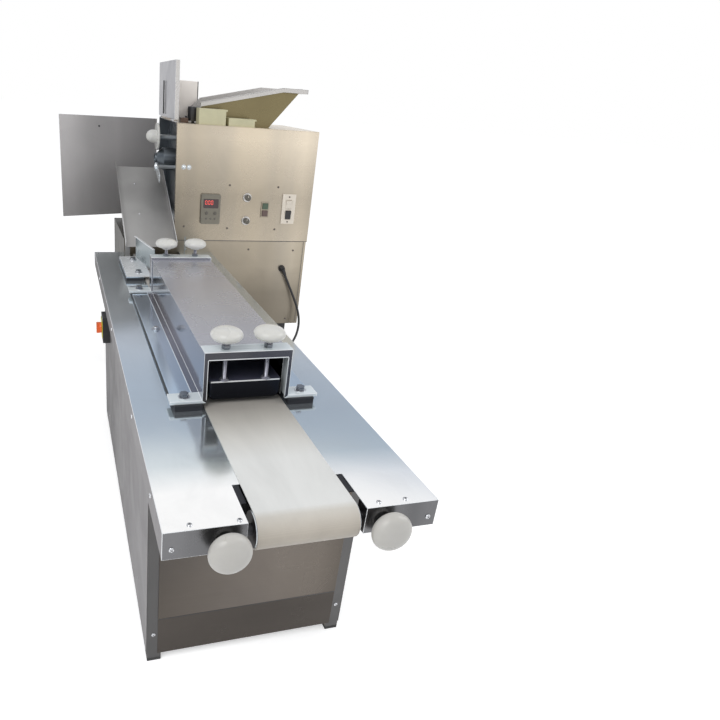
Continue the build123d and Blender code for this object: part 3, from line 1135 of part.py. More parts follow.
# Sloping chute with upright sides, struts and a foot on the deck, and two guides that lead dough to the belt
CHUTE_RUN = hypot(CHUTE_HIGH[0] - CHUTE_LOW[0], CHUTE_HIGH[1] - CHUTE_LOW[1])
CHUTE_UP = ((CHUTE_HIGH[0] - CHUTE_LOW[0]) / CHUTE_RUN, (CHUTE_HIGH[1] - CHUTE_LOW[1]) / CHUTE_RUN)
CHUTE_SLOPE = CHUTE_UP[1] / CHUTE_UP[0]
with BuildPart() as chute:
    normal = (0, -CHUTE_UP[1], CHUTE_UP[0])
    chute_plane = Plane(at(0, *CHUTE_LOW), x_dir=(1, 0, 0), z_dir=normal)
    chute_mid = sum(CHUTE_X) / 2
    with BuildSketch(chute_plane):
        with Locations((chute_mid, CHUTE_RUN / 2)):
            Rectangle(CHUTE_X[1] - CHUTE_X[0], CHUTE_RUN)
    extrude(amount=-SHEET)
    with BuildSketch(chute_plane):
        for side_x in (CHUTE_X[0] + SHEET / 2, CHUTE_X[1] - SHEET / 2):
            with Locations((side_x, CHUTE_RUN / 2)):
                Rectangle(SHEET, CHUTE_RUN)
    extrude(amount=CHUTE_SIDE)
    strut_y = (CHUTE_STRUT_Y, CHUTE_STRUT_Y + CHUTE_STRUT)
    strut_top = CHUTE_LOW[1] + (CHUTE_STRUT_Y - CHUTE_LOW[0]) * CHUTE_SLOPE - SHEET / 2
    for strut_x in CHUTE_STRUT_X:
        slab((strut_x, strut_x + CHUTE_STRUT), strut_y, (HEAD_Z[0], strut_top))
    foot_top = CHUTE_LOW[1] + (CHUTE_FOOT_Y - CHUTE_LOW[0]) * CHUTE_SLOPE - SHEET / 2
    foot_end = CHUTE_FOOT_Y + CHUTE_FOOT_T
    slab(CHUTE_FOOT_X, (CHUTE_FOOT_Y, foot_end), (TABLE_H, foot_top))
    foot_x = (CHUTE_FOOT_X[0] - CHUTE_FOOT_OUT, CHUTE_FOOT_X[1])
    slab(foot_x, (CHUTE_FOOT_Y - CHUTE_FOOT_L, foot_end), (TABLE_H, TABLE_H + CHUTE_FOOT_T))
    guide_top = PLATFORM_TOP + GUIDE_H
    for side in (-1, 1):
        foot_x = sorted((side * GUIDE_FOOT_X[0], side * GUIDE_FOOT_X[1]))
        slab(foot_x, GUIDE_Y, (PLATFORM_TOP, PLATFORM_TOP + GUIDE_FOOT_T))
        near = (side * GUIDE_NEAR[0], HEAD_Y[0] + GUIDE_NEAR[1])
        far = (side * GUIDE_FAR[0], HEAD_Y[0] + GUIDE_FAR[1])
        slanted_wall(near, far, side * SHEET, (PLATFORM_TOP, guide_top))
        slanted_wall(near, far, side * GUIDE_LIP, (guide_top - SHEET, guide_top))
keep(chute, "chute")

# Upright shield behind the hopper's left end
with BuildPart() as side_shield:
    shield_z = (HEAD_Z[1], SHIELD_TOP)
    flange_y = (SHIELD_Y - SHEET, SHIELD_Y + SHIELD_FLANGE)
    slab(SHIELD_X, (SHIELD_Y - SHEET, SHIELD_Y), shield_z)
    slab((SHIELD_X[1] - SHEET, SHIELD_X[1]), flange_y, shield_z)
    slab(SHIELD_X, flange_y, (HEAD_Z[1], HEAD_Z[1] + SHEET))
keep(side_shield, "side_shield")

# Low bracket and black knob that sets the feed gap
with BuildPart() as gap_bracket:
    slab(BRACKET_X, BRACKET_Y, (HEAD_Z[1], HEAD_Z[1] + BRACKET_H))
keep(gap_bracket, "gap_bracket")

with BuildPart() as gap_knob:
    knob_foot = HEAD_Z[1] + GAP_STEM_H
    rod_z(GAP_KNOB_X, GAP_KNOB_Y, (ROOF_UNDER - GAP_STEM_BELOW, knob_foot + GAP_STEM_IN), GAP_STEM_R)
    rod_z(GAP_KNOB_X, GAP_KNOB_Y, (knob_foot, knob_foot + GAP_KNOB_H), GAP_KNOB_D / 2)
    knob_rims = gap_knob.edges().filter_by(GeomType.CIRCLE).sort_by(Axis.Z)[-1]
    fillet(knob_rims, GAP_KNOB_EDGE)
keep(gap_knob, "gap_knob")

# Fixed plates of the controls: keypad, button frame and rocker plate
button_x = sum(BUTTON_PLATE_X) / 2
rocker_x = sum(ROCKER_PLATE_X) / 2
with BuildPart() as control_plates:
    keypad_face = HEAD_Y[0] - KEYPAD_T
    slab(KEYPAD_X, (keypad_face, HEAD_Y[0]), KEYPAD_Z)
    slab(WINDOW_X, (keypad_face - CUT_PAST, keypad_face + WINDOW_DEPTH), WINDOW_Z, Mode.SUBTRACT)
    slab(BUTTON_PLATE_X, (HEAD_Y[0] - BUTTON_FRAME_T, HEAD_Y[0]), BUTTON_PLATE_Z)
    frame_cut = (HEAD_Y[0] - BUTTON_FRAME_T - CUT_PAST, HEAD_Y[0] + CUT_PAST)
    half = BUTTON_W / 2 + CLEAR
    for row_z in BUTTON_ROWS:
        slab((button_x - half, button_x + half), frame_cut, (row_z - half, row_z + half), Mode.SUBTRACT)
    slab(ROCKER_PLATE_X, (HEAD_Y[0] - PLATE_T, HEAD_Y[0]), ROCKER_PLATE_Z)
    plate_cut = (HEAD_Y[0] - PLATE_T - CUT_PAST, HEAD_Y[0] + CUT_PAST)
    half_x = ROCKER_SIZE[0] / 2 + CLEAR
    half_z = ROCKER_SIZE[1] / 2 + ROCKER_SLACK
    hole_x = (rocker_x - half_x, rocker_x + half_x)
    for row_z in ROCKER_ROWS:
        slab(hole_x, plate_cut, (row_z - half_z, row_z + half_z), Mode.SUBTRACT)
keep(control_plates, "control_plates")

# Two dials
for name, (dial_x, dial_z) in zip(("upper", "lower"), DIALS):
    with BuildPart() as dial:
        dial_face = HEAD_Y[0] - CLEAR
        rod_y(dial_x, (dial_face - DIAL_SKIRT, dial_face), dial_z, DIAL_D / 2)
        rod_y(dial_x, (dial_face - DIAL_H, dial_face), dial_z, DIAL_KNOB_D / 2)
        rod_y(dial_x, (dial_face - DIAL_SKIRT, HEAD_Y[0] + SHEET + DIAL_SHAFT_PAST), dial_z, DIAL_SHAFT_R)
    keep(dial, "dial_" + name)

# Two square push buttons
for name, row_z in zip(("start", "stop"), BUTTON_ROWS):
    with BuildPart() as button:
        half = BUTTON_W / 2
        button_y = (HEAD_Y[0] - BUTTON_OUT, HEAD_Y[0] - BUTTON_FRAME_T + BUTTON_IN)
        slab((button_x - half, button_x + half), button_y, (row_z - half, row_z + half))
    keep(button, name + "_button")

# Two rockers that tip about a cross pin in the plate
ROCKER_AXIS_Y = HEAD_Y[0] - ROCKER_AXIS_OUT
for name, row_z in zip(("upper", "lower"), ROCKER_ROWS):
    with BuildPart() as rocker:
        half_z = ROCKER_SIZE[1] / 2
        outline = (
            (ROCKER_AXIS_Y - 1.5, row_z - half_z + 3),
            (ROCKER_AXIS_Y - 5, row_z - half_z + 1),
            (ROCKER_AXIS_Y - ROCKER_DEPTH + 1.5, row_z),
            (ROCKER_AXIS_Y - ROCKER_DEPTH - 1.5, row_z + half_z - 2),
            (ROCKER_AXIS_Y - 3, row_z + half_z - 1),
        )
        with BuildSketch(Plane(at(rocker_x - ROCKER_SIZE[0] / 2, 0, 0), x_dir=(0, 1, 0), z_dir=(1, 0, 0))):
            Polygon(*outline, align=None)
        extrude(amount=ROCKER_SIZE[0])
        pin_x = (rocker_x - ROCKER_SIZE[0] / 2, rocker_x + ROCKER_SIZE[0] / 2)
        rod_x(pin_x, ROCKER_AXIS_Y, row_z, ROCKER_PIN_R)
        web_y = (ROCKER_AXIS_Y - ROCKER_DEPTH / 2, ROCKER_AXIS_Y)
        slab(pin_x, web_y, (row_z - ROCKER_PIN_R, row_z + ROCKER_PIN_R))
    keep(rocker, "rocker_" + name)

# Mains lead: leaning gland, lead to the floor, coil put away behind the table, and plug
GLAND_DIR = (sin(radians(GLAND_LEAN)), 0, -cos(radians(GLAND_LEAN)))
GLAND_Y = HEAD_Y[0] - GLAND_OUT
CORD_START = tuple(
    p + d * GLAND_SLEEVE for p, d in zip((GLAND[0], GLAND_Y, GLAND[1]), GLAND_DIR)
)
CORD_POINTS = [CORD_START, tuple(p + d * CORD_LEAD for p, d in zip(CORD_START, GLAND_DIR))]
for dx, dy, z in CORD_ROUTE:
    CORD_POINTS.append((CORD_START[0] + dx, CORD_START[1] + dy, z))


def bend_radii(points):
    radii = []
    for a, b, c in zip(points, points[1:], points[2:]):
        u = Vector(*b) - Vector(*a)
        v = Vector(*c) - Vector(*b)
        turn = radians(u.get_angle(v))
        radii.append(0.45 * min(u.length, v.length) / tan(turn / 2))
    return radii


CORD_RADII = bend_radii(CORD_POINTS)
print("cord bend radii, least", round(min(CORD_RADII), 1))
with BuildPart() as power_cord:
    with BuildLine() as cord_path:
        FilletPolyline(*[at(*p) for p in CORD_POINTS], radius=CORD_RADII)
    with BuildSketch(Plane(cord_path.line @ 0, z_dir=cord_path.line % 0)):
        Circle(CORD_D / 2)
    sweep(path=cord_path.line)
keep(power_cord, "power_cord")

# Coil: spirals in on the floor, climbs where it turns back, spirals out on top
COIL_PITCH = CORD_D + COIL_GAP
COIL_IN = Vector(*CORD_POINTS[-1]) - Vector(*CORD_POINTS[-2])
COIL_DIR = COIL_IN.normalized()
COIL_RIGHT = Vector(COIL_DIR.Y, -COIL_DIR.X, 0)
COIL_FROM = Vector(*CORD_POINTS[-1])
COIL_START = COIL_FROM + COIL_DIR * COIL_STRAIGHT


def coil_point(centre, radius, angle, height):
    """A point of the coil, angle from its start, winding clockwise seen from above."""
    a = radians(angle)
    out = COIL_RIGHT * (centre - radius * cos(a)) + COIL_DIR * (radius * sin(a))
    p = COIL_START + out + Vector(0, 0, height)
    return at(p.X, p.Y, p.Z)


def coil_arcs():
    """Half turns of the coil as start, middle and end points."""
    arcs = []
    radius = COIL_OUTER_R
    centre = radius
    flip = 1
    for half_turn in range(COIL_HALF_TURNS[0]):
        base = 0 if flip > 0 else 180
        arcs.append([coil_point(centre, radius, base + a, 0) for a in (0, 90, 180)])
        centre += flip * COIL_PITCH / 2
        radius -= COIL_PITCH / 2
        flip = -flip
    base = 0 if flip > 0 else 180
    for climb in (((0, 0), (45, 0.125), (90, 0.5)), ((90, 0.5), (135, 0.875), (180, 1))):
        arcs.append([coil_point(centre, radius, base + a, COIL_PITCH * z) for a, z in climb])
    flip = -flip
    for half_turn in range(COIL_HALF_TURNS[1]):
        centre += flip * COIL_PITCH / 2
        radius += COIL_PITCH / 2
        base = 0 if flip > 0 else 180
        arcs.append([coil_point(centre, radius, base + a, COIL_PITCH) for a in (0, 90, 180)])
        flip = -flip
    return arcs


COIL_ARCS = coil_arcs()
COIL_END = Vector(*COIL_ARCS[-1][2])
with BuildPart() as cord_coil:
    with BuildLine() as coil_path:
        Line(at(*COIL_FROM), COIL_ARCS[0][0])
        for arc in COIL_ARCS:
            ThreePointArc(*arc)
        coil_out = coil_path.edges()[-1] % 1
        COIL_TAIL = COIL_END + coil_out * COIL_TAIL_L
        Line(COIL_END, COIL_TAIL)
    with BuildSketch(Plane(at(*COIL_FROM), z_dir=COIL_DIR)):
        Circle(CORD_D / 2)
    sweep(path=coil_path.wires()[0])
keep(cord_coil, "cord_coil")


def coil_self_gap():
    """Least free gap between turns of the coil, measured on points along it."""
    wire = coil_path.wires()[0]
    count = 900
    points = [wire.position_at(i / count) for i in range(count + 1)]
    apart = int(6 * CORD_D / (wire.length / count))
    least = wire.length
    for i in range(count + 1):
        for j in range(i + apart, count + 1):
            least = min(least, (points[i] - points[j]).length)
    return least - CORD_D


print("coil self gap", round(coil_self_gap(), 2), "coil length", round(coil_path.wires()[0].length))

# Gland on the panel and the plug at the end of the coil
with BuildPart() as cord_fittings:
    rod_y(GLAND[0], (GLAND_Y - GLAND_R, HEAD_Y[0]), GLAND[1], GLAND_R)
    gland_axis = Plane(at(GLAND[0], GLAND_Y, GLAND[1]), x_dir=(0, 1, 0), z_dir=GLAND_DIR)
    with BuildSketch(gland_axis):
        Circle(GLAND_SLEEVE_R)
    extrude(amount=GLAND_SLEEVE)
    plug_plane = Plane(COIL_TAIL + coil_out * PLUG_SEAT, x_dir=(0, 0, 1), z_dir=coil_out)
    with BuildSketch(plug_plane):
        RectangleRounded(PLUG[2], PLUG[0], PLUG_EDGE)
    extrude(amount=PLUG[1])
    with BuildSketch(plug_plane.offset(PLUG[1])):
        with Locations((0, -PLUG_PIN_APART / 2), (0, PLUG_PIN_APART / 2)):
            Circle(PLUG_PIN_R)
    extrude(amount=PLUG_PIN_L)
keep(cord_fittings, "cord_fittings")

os.makedirs("parts", exist_ok=True)
for node, builder in PIECES.items():
    export_step(builder.part, f"parts/{node}.step")
print(len(PIECES), "pieces, table at", round(TABLE_X, 2), round(TABLE_Y, 2))
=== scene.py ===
from math import cos, pi, radians, sin

import bmesh
import bpy
from mathutils import Matrix, Vector


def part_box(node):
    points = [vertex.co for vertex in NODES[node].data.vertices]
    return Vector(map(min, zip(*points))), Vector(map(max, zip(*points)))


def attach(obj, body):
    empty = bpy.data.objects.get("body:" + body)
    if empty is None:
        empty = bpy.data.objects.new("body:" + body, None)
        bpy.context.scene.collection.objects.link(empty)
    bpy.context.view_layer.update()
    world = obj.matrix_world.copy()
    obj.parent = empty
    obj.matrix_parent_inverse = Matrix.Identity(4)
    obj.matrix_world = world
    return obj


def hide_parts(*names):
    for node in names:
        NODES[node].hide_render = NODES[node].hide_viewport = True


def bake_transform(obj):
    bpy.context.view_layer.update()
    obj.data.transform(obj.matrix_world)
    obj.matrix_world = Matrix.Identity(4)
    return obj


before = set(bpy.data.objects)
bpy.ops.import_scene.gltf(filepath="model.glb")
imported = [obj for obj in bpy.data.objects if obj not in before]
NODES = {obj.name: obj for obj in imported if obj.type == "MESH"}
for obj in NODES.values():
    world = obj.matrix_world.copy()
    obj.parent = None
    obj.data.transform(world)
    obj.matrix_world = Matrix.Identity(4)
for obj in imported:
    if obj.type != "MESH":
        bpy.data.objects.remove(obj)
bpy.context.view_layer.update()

# Datum: x from the table's middle, y from its front edge, z from the floor, in millimetres
MM, DIGITS = 0.001, 2
X_AXIS, Z_AXIS, FRONT, LEFT = (1, 0, 0), (0, 0, 1), (0, -1, 0), (-1, 0, 0)
DECK_LOW, DECK_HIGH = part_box("table_deck")
TABLE = Vector((round((DECK_LOW[0] + DECK_HIGH[0]) / 2 / MM, DIGITS), round(DECK_LOW[1] / MM, DIGITS), 0))


def at(x, y, z):
    """A place of the datum, in metres of the shared frame."""
    return (TABLE + Vector((x, y, z))) * MM


def datum_box(node):
    """Low and high corner of a CAD node in the datum, rounded from its mesh."""
    return [Vector([round(v / MM - t, DIGITS) for v, t in zip(corner, TABLE)]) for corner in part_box(node)]


# Places that the pieces share, from the frame
TABLE_H = datum_box("table_deck")[1].z
HEAD_Y = datum_box("head_front_panel")[0].y
BOARD_LOW, BOARD_HIGH = datum_box("pressure_board")
RAIL_LOW, RAIL_HIGH = datum_box("platform_rails")
BRIDGE_LOW = datum_box("front_bridge")[0]
SHIELD_LOW, SHIELD_HIGH = datum_box("side_shield")
HOPPER_LOW, HOPPER_HIGH = datum_box("hopper")
LID_LOW = datum_box("guard_lid")[0]
SIDES = (("left", -1), ("right", 1))

# Camera at the photograph's place
YAW, PITCH, ROLL = radians(17.5409), radians(23.6544), radians(-4.5536)
FOCAL_PX, CENTRE_PX, IMAGE_PX = 604.493, (240.99, 363.1), 720
CAMERA_SPOT = (-360.9, -714, 1131)
SENSOR_W, CLIP = 36, (0.05, 100)


def make_camera():
    forward = Vector((sin(YAW) * cos(PITCH), cos(YAW) * cos(PITCH), -sin(PITCH)))
    right = Vector((cos(YAW), -sin(YAW), 0))
    down = forward.cross(right)
    right_r = right * cos(ROLL) + down * sin(ROLL)
    down_r = down * cos(ROLL) - right * sin(ROLL)
    data = bpy.data.cameras.new("photo_camera")
    data.sensor_width = SENSOR_W
    data.lens = FOCAL_PX / IMAGE_PX * SENSOR_W
    data.shift_x = (IMAGE_PX / 2 - CENTRE_PX[0]) / IMAGE_PX
    data.shift_y = (CENTRE_PX[1] - IMAGE_PX / 2) / IMAGE_PX
    data.clip_start, data.clip_end = CLIP
    cam = bpy.data.objects.new("photo_camera", data)
    axes = Matrix((right_r, -down_r, -forward)).transposed()
    cam.matrix_world = Matrix.Translation(at(*CAMERA_SPOT)) @ axes.to_4x4()
    bpy.context.scene.collection.objects.link(cam)
    bpy.context.scene.camera = cam


make_camera()

# Shader parts, with the sockets of a colour mix
MIX_FACTOR, MIX_A, MIX_B, MIX_RESULT = 0, 6, 7, 2
EVEN = (1, 1, 1)


def new_material(name):
    mat = bpy.data.materials.new(name)
    mat.use_nodes = True
    return mat, mat.node_tree, mat.node_tree.nodes["Principled BSDF"]


def feed(tree, node, inputs):
    """Sets inputs of a node, each to a value or a link."""
    for socket, value in inputs.items():
        if isinstance(value, bpy.types.NodeSocket):
            tree.links.new(value, node.inputs[socket])
        else:
            node.inputs[socket].default_value = value


def add_node(tree, kind, inputs, **settings):
    node = tree.nodes.new(kind)
    for name, value in settings.items():
        setattr(node, name, value)
    feed(tree, node, inputs)
    return node.outputs


def times(colour, factor):
    return tuple(min(1, c * factor) for c in colour)


def noise(tree, scale, size, detail=4, rough=0.55, distortion=0):
    """Noise over the object's own coordinates, with a scale for each axis."""
    coord = add_node(tree, "ShaderNodeTexCoord", {})["Object"]
    place = add_node(tree, "ShaderNodeMapping", {"Vector": coord, "Scale": scale})["Vector"]
    inputs = {"Vector": place, "Scale": size, "Detail": detail, "Roughness": rough, "Distortion": distortion}
    return add_node(tree, "ShaderNodeTexNoise", inputs)["Fac"]


def ramp(tree, value, stops):
    """Colour ramp with stops of (place, tone), where a tone is a grey or a colour."""
    node = tree.nodes.new("ShaderNodeValToRGB")
    feed(tree, node, {"Fac": value})
    elements = node.color_ramp.elements
    elements[0].position, elements[1].position = stops[0][0], stops[-1][0]
    for place, tone in stops[1:-1]:
        elements.new(place)
    for element, (place, tone) in zip(elements, stops):
        element.color = (*(tone if isinstance(tone, tuple) else (tone,) * 3), 1)
    return node.outputs["Color"]


def multiply(tree, product, *colours):
    for colour in colours:
        inputs = {MIX_FACTOR: 1, MIX_A: product, MIX_B: colour}
        outputs = add_node(tree, "ShaderNodeMix", inputs, data_type="RGBA", blend_type="MULTIPLY")
        product = outputs[MIX_RESULT]
    return product


def scaled(tree, value, factor, offset=0):
    return add_node(tree, "ShaderNodeMath", {0: value, 1: factor, 2: offset}, operation="MULTIPLY_ADD")[0]


def larger(tree, a, b):
    return add_node(tree, "ShaderNodeMath", {0: a, 1: b}, operation="MAXIMUM")[0]


def coordinate(tree, space, axis):
    coord = add_node(tree, "ShaderNodeTexCoord", {})[space]
    return add_node(tree, "ShaderNodeSeparateXYZ", {"Vector": coord})[axis]


def bump(tree, height, strength, distance):
    inputs = {"Strength": strength, "Distance": distance, "Height": height}
    return add_node(tree, "ShaderNodeBump", inputs)["Normal"]


def paint_light_along(tree, axis, stops):
    """Painted light: a tone of painted shade and painted reflection that changes along one axis, at places
    in mm of the datum.
    """
    first, span = stops[0][0], stops[-1][0] - stops[0][0]
    start = first + TABLE["XYZ".index(axis)]
    place = scaled(tree, coordinate(tree, "Object", axis), 1 / (span * MM), -start / span)
    return ramp(tree, place, [((where - first) / span, tone) for where, tone in stops])


# Materials: grain and bands are scales for each axis, a shade is (axis, stops in mm of the datum) of painted
# shade and painted reflection
ALONG_X, ALONG_Y, ALONG_Z = (3, 700, 700), (700, 3, 700), (700, 700, 3)
TURNED, CAST = (200, 200, 200), (2, 300, 300)
TALL_BANDS, LONG_BANDS, WIDE_BANDS = (6.5, 6.5, 0.9), (5, 1.1, 5), (1.2, 1.2, 4)
EVEN_BANDS = (2.2, 2.2, 2.2)
WARM, COOL = (1.03, 1, 0.94), (0.97, 1, 1.03)
SMUDGE_SOIL = 0.06


def steel(name, colour, rough, grain, cloud, streak, bands=EVEN_BANDS, tint=EVEN, metal=1, shade=(), **more):
    """Sheet steel: fine grain along one way, soft bands of tone, a few smudges and any painted shade and
    reflection along the datum.
    """
    mat, tree, shader = new_material(name)
    lines = noise(tree, grain, size=1, detail=4, rough=0.6)
    clouds = noise(tree, bands, size=1, detail=2, rough=0.45, distortion=0.5)
    smudge = noise(tree, EVEN, size=7, detail=4, rough=0.6, distortion=1)
    high = tuple(min(1, c * (1 + cloud) * t) for c, t in zip(colour, tint))
    tones = [
        ramp(tree, clouds, ((0.3, times(colour, 1 - cloud)), (0.7, high))),
        ramp(tree, lines, ((0.3, 1 - streak), (0.7, 1))),
        ramp(tree, smudge, ((0.5, 1), (0.8, 1 - SMUDGE_SOIL))),
    ]
    tones += [paint_light_along(tree, axis, stops) for axis, stops in shade]
    feed(tree, shader, {
        "Metallic": metal,
        "Base Color": multiply(tree, *tones),
        "Roughness": ramp(tree, smudge, ((0.3, rough * 0.85), (0.75, rough * 1.2))),
        "Normal": bump(tree, lines, strength=0.006, distance=0.0002),
        **more,
    })
    return mat


def plastic(name, colour, rough, wear, grain=260, **more):
    """Moulded plastic: fine pebble bump, slight colour drift and soil."""
    mat, tree, shader = new_material(name)
    fine = noise(tree, EVEN, size=grain, detail=3, rough=0.6)
    drift = noise(tree, EVEN, size=22, detail=4, rough=0.6, distortion=0.8)
    feed(tree, shader, {
        "Base Color": ramp(tree, drift, ((0.35, times(colour, 1 - wear)), (0.68, colour))),
        "Roughness": ramp(tree, drift, ((0.3, rough * 0.8), (0.75, min(1, rough * 1.2)))),
        "Normal": bump(tree, fine, strength=0.08, distance=0.0005),
        **more,
    })
    return mat


def woven(name, colour, rough, shade):
    """Belt canvas: fine crossed threads, flour dust, lengthwise soil and painted shade along the belt."""
    mat, tree, shader = new_material(name)
    coord = add_node(tree, "ShaderNodeTexCoord", {})["Object"]
    inputs = {"Vector": coord, "Scale": 260, "Distortion": 0.6}
    weave = larger(tree, *[
        add_node(tree, "ShaderNodeTexWave", inputs, wave_type="BANDS", bands_direction=axis)["Fac"]
        for axis in "XY"
    ])
    dust = noise(tree, (1, 0.25, 1), size=9, detail=5, rough=0.6, distortion=0.5)
    tones = [
        ramp(tree, dust, ((0.3, times(colour, 0.88)), (0.55, colour), (0.75, times(colour, 1.05)))),
        ramp(tree, weave, ((0.2, 0.93), (0.9, 1))),
        paint_light_along(tree, *shade),
    ]
    feed(tree, shader, {
        "Base Color": multiply(tree, *tones),
        "Roughness": rough,
        "Sheen Weight": 0.15,
        "Normal": bump(tree, weave, strength=0.12, distance=0.0004),
    })
    return mat


def glow(name, colour, strength):
    """Lit plastic of a display."""
    mat, tree, shader = new_material(name)
    fine = noise(tree, EVEN, size=180)
    feed(tree, shader, {
        "Base Color": ramp(tree, fine, ((0.3, times(colour, 0.9)), (0.7, colour))),
        "Roughness": 0.3,
        "Emission Color": (*colour, 1),
        "Emission Strength": strength,
    })
    return mat


def soft(weight):
    """Inputs of a material that light enters a little."""
    return {"Subsurface Weight": weight, "Subsurface Radius": (0.006, 0.006, 0.005), "Subsurface Scale": 1}


# Head: painted shade at the left and low down, lighter towards the top where the light falls
HEAD_PAINTED_LIGHT = (
    ("X", ((80, 0.64), (130, 0.63), (330, 0.78), (500, 0.85), (610, 1), (662, 0.88))),
    ("Z", ((580, 0.58), (760, 0.55), (880, 0.77), (980, 1), (1180, 1))),
)
# Lower cabinet and its front panel: painted shade, darker towards the bottom and the left
PANEL_PAINTED_SHADE = (
    ("X", ((80, 0.66), (480, 0.74), (600, 1), (662, 0.86))),
    ("Z", ((205, 0.48), (350, 0.55), (470, 0.88), (580, 1))),
)
# Deck: painted reflection of the room, white along the front edge and a darker bluish grey behind it
DECK_PAINTED_LIGHT = (("Y", (
    (0, 1), (95, 1), (175, (0.71, 0.765, 0.79)), (330, (0.65, 0.7, 0.735)),
    (500, (0.69, 0.745, 0.785)), (1000, (0.775, 0.835, 0.87)), (1716, (0.9, 0.97, 1)),
)),)
# Base sides: painted shade, darker towards the back
SIDE_PAINTED_SHADE = (("Y", ((224, 1), (700, 0.9), (1000, 0.62), (1500, 0.5))),)
# Base front: painted reflection, lightest near the middle and darker at both ends
FRONT_PAINTED_REFLECTION = (("X", ((-224, 0.52), (-60, 0.85), (60, 1), (150, 0.88), (224, 0.55))),)
# Rear door: painted reflection, lighter at its left end, and painted shade low down
DOOR_PAINTED_LIGHT = (
    ("X", ((-330, 1), (-220, 0.82), (60, 0.74))),
    ("Z", ((610, 0.78), (740, 0.84), (900, 1), (1020, 1))),
)
# Chute: painted shade towards its upper end
CHUTE_PAINTED_SHADE = (("Y", ((1590, 1), (1770, 1), (1890, 0.84), (2030, 0.84))),)
# Belt: painted shade round the front drum, and painted shadow of the front bridge and the tunnel over its
# far part
BELT_PAINTED_SHADE = ("Y", (
    (-12.5, (0.72, 0.65, 0.57)), (8, (0.8, 0.76, 0.71)), (22, 1), (165, 1),
    (235, (0.86, 0.84, 0.81)), (310, (0.62, 0.59, 0.55)), (360, (0.5, 0.465, 0.43)),
    (1716, (0.48, 0.45, 0.42)),
))

# Steels: colour, roughness, grain, cloud, streak, bands, tint
HEAD_STEEL = steel(
    "head_steel", (0.84, 0.745, 0.61), 0.28, ALONG_X, 0.08, 0.03, TALL_BANDS, WARM, shade=HEAD_PAINTED_LIGHT)
CABINET_STEEL = steel(
    "cabinet_steel", (0.46, 0.41, 0.335), 0.32, ALONG_X, 0.08, 0.03, TALL_BANDS, WARM, shade=PANEL_PAINTED_SHADE)
# Painted shade: a dark copy of the cabinet steel for the lower cabinet's left face and top, under the head
SHADED_CABINET_STEEL = steel("shaded_cabinet_steel", (0.108, 0.103, 0.095), 0.6, ALONG_X, 0.14, 0.04, metal=0.3)
DECK_STEEL = steel(
    "deck_steel", (1, 1, 1), 0.13, ALONG_Y, 0.06, 0.03, LONG_BANDS, COOL, metal=0.9, shade=DECK_PAINTED_LIGHT)
# Painted reflection: a dark copy of the deck steel for the deck's front fold, which mirrors the dark room
APRON_DARK_REFLECTION = steel("apron_dark_reflection", (0.145, 0.145, 0.15), 0.26, ALONG_X, 0.22, 0.03, TALL_BANDS)
BASE_STEEL = steel(
    "base_steel", (0.165, 0.147, 0.133), 0.3, ALONG_X, 0.1, 0.04, WIDE_BANDS, WARM, shade=FRONT_PAINTED_REFLECTION)
PLINTH_STEEL = steel("plinth_steel", (0.076, 0.067, 0.06), 0.3, ALONG_X, 0.12, 0.04, WIDE_BANDS)
SIDE_STEEL = steel(
    "side_steel", (0.255, 0.246, 0.252), 0.45, ALONG_Y, 0.06, 0.02, LONG_BANDS, metal=0.25, shade=SIDE_PAINTED_SHADE,
    **{"Specular IOR Level": 0.15, "Specular Tint": (0.45, 0.44, 0.44, 1)})
LEG_STEEL = steel("leg_steel", (0.11, 0.108, 0.108), 0.36, ALONG_Z, 0.1, 0.03)
CHUTE_STEEL = steel(
    "chute_steel", (0.355, 0.35, 0.345), 0.34, ALONG_Y, 0.08, 0.03, TALL_BANDS, metal=0.5,
    shade=CHUTE_PAINTED_SHADE)
DOOR_STEEL = steel(
    "door_steel", (0.54, 0.52, 0.515), 0.45, ALONG_Z, 0.08, 0.03, TALL_BANDS, metal=0.2, shade=DOOR_PAINTED_LIGHT)
TUNNEL_STEEL = steel("tunnel_steel", (0.36, 0.36, 0.395), 0.12, ALONG_Y, 0.08, 0.02, LONG_BANDS)
COVER_STEEL = steel("cover_steel", (0.52, 0.52, 0.56), 0.26, ALONG_Y, 0.08, 0.02, LONG_BANDS, metal=0.7)
RAIL_STEEL = steel("rail_steel", (0.66, 0.75, 0.84), 0.14, ALONG_Y, 0.1, 0.02, LONG_BANDS)
GUIDE_STEEL = steel("guide_steel", (0.3, 0.345, 0.36), 0.26, ALONG_Y, 0.1, 0.02, metal=0.5)
BRIDGE_STEEL = steel("bridge_steel", (0.74, 0.8, 0.82), 0.22, ALONG_X, 0.06, 0.02, metal=0.3)
BRIGHT_STEEL = steel("bright_steel", (0.68, 0.72, 0.75), 0.18, ALONG_Z, 0.06, 0.02, metal=0.6)
# Painted highlight: a pale steel for edges that catch the light
HIGHLIGHT_STEEL = steel("highlight_steel", (0.84, 0.86, 0.88), 0.25, ALONG_Z, 0.04, 0.02, metal=0.4)
# Painted reflection: a dark steel for the front faces of the front bridge's lips, which mirror the dark room
PAINTED_DARK_LIP = steel("painted_dark_lip", (0.1, 0.1, 0.115), 0.2, ALONG_X, 0.25, 0.03)
LID_STEEL = steel("lid_steel", (0.3, 0.3, 0.325), 0.32, ALONG_Z, 0.1, 0.02, metal=0.8)
SHIELD_STEEL = steel("shield_steel", (1, 0.93, 0.87), 0.45, ALONG_Z, 0.02, 0.01, metal=0.1)
HOPPER_STEEL = steel("hopper_steel", (0.235, 0.195, 0.105), 0.28, ALONG_X, 0.18, 0.03)
RIM_STEEL = steel("rim_steel", (0.6, 0.58, 0.56), 0.26, ALONG_X, 0.08, 0.03, metal=0.6)
DARK_STEEL = steel("dark_steel", (0.085, 0.085, 0.09), 0.4, CAST, 0.2, 0.08)
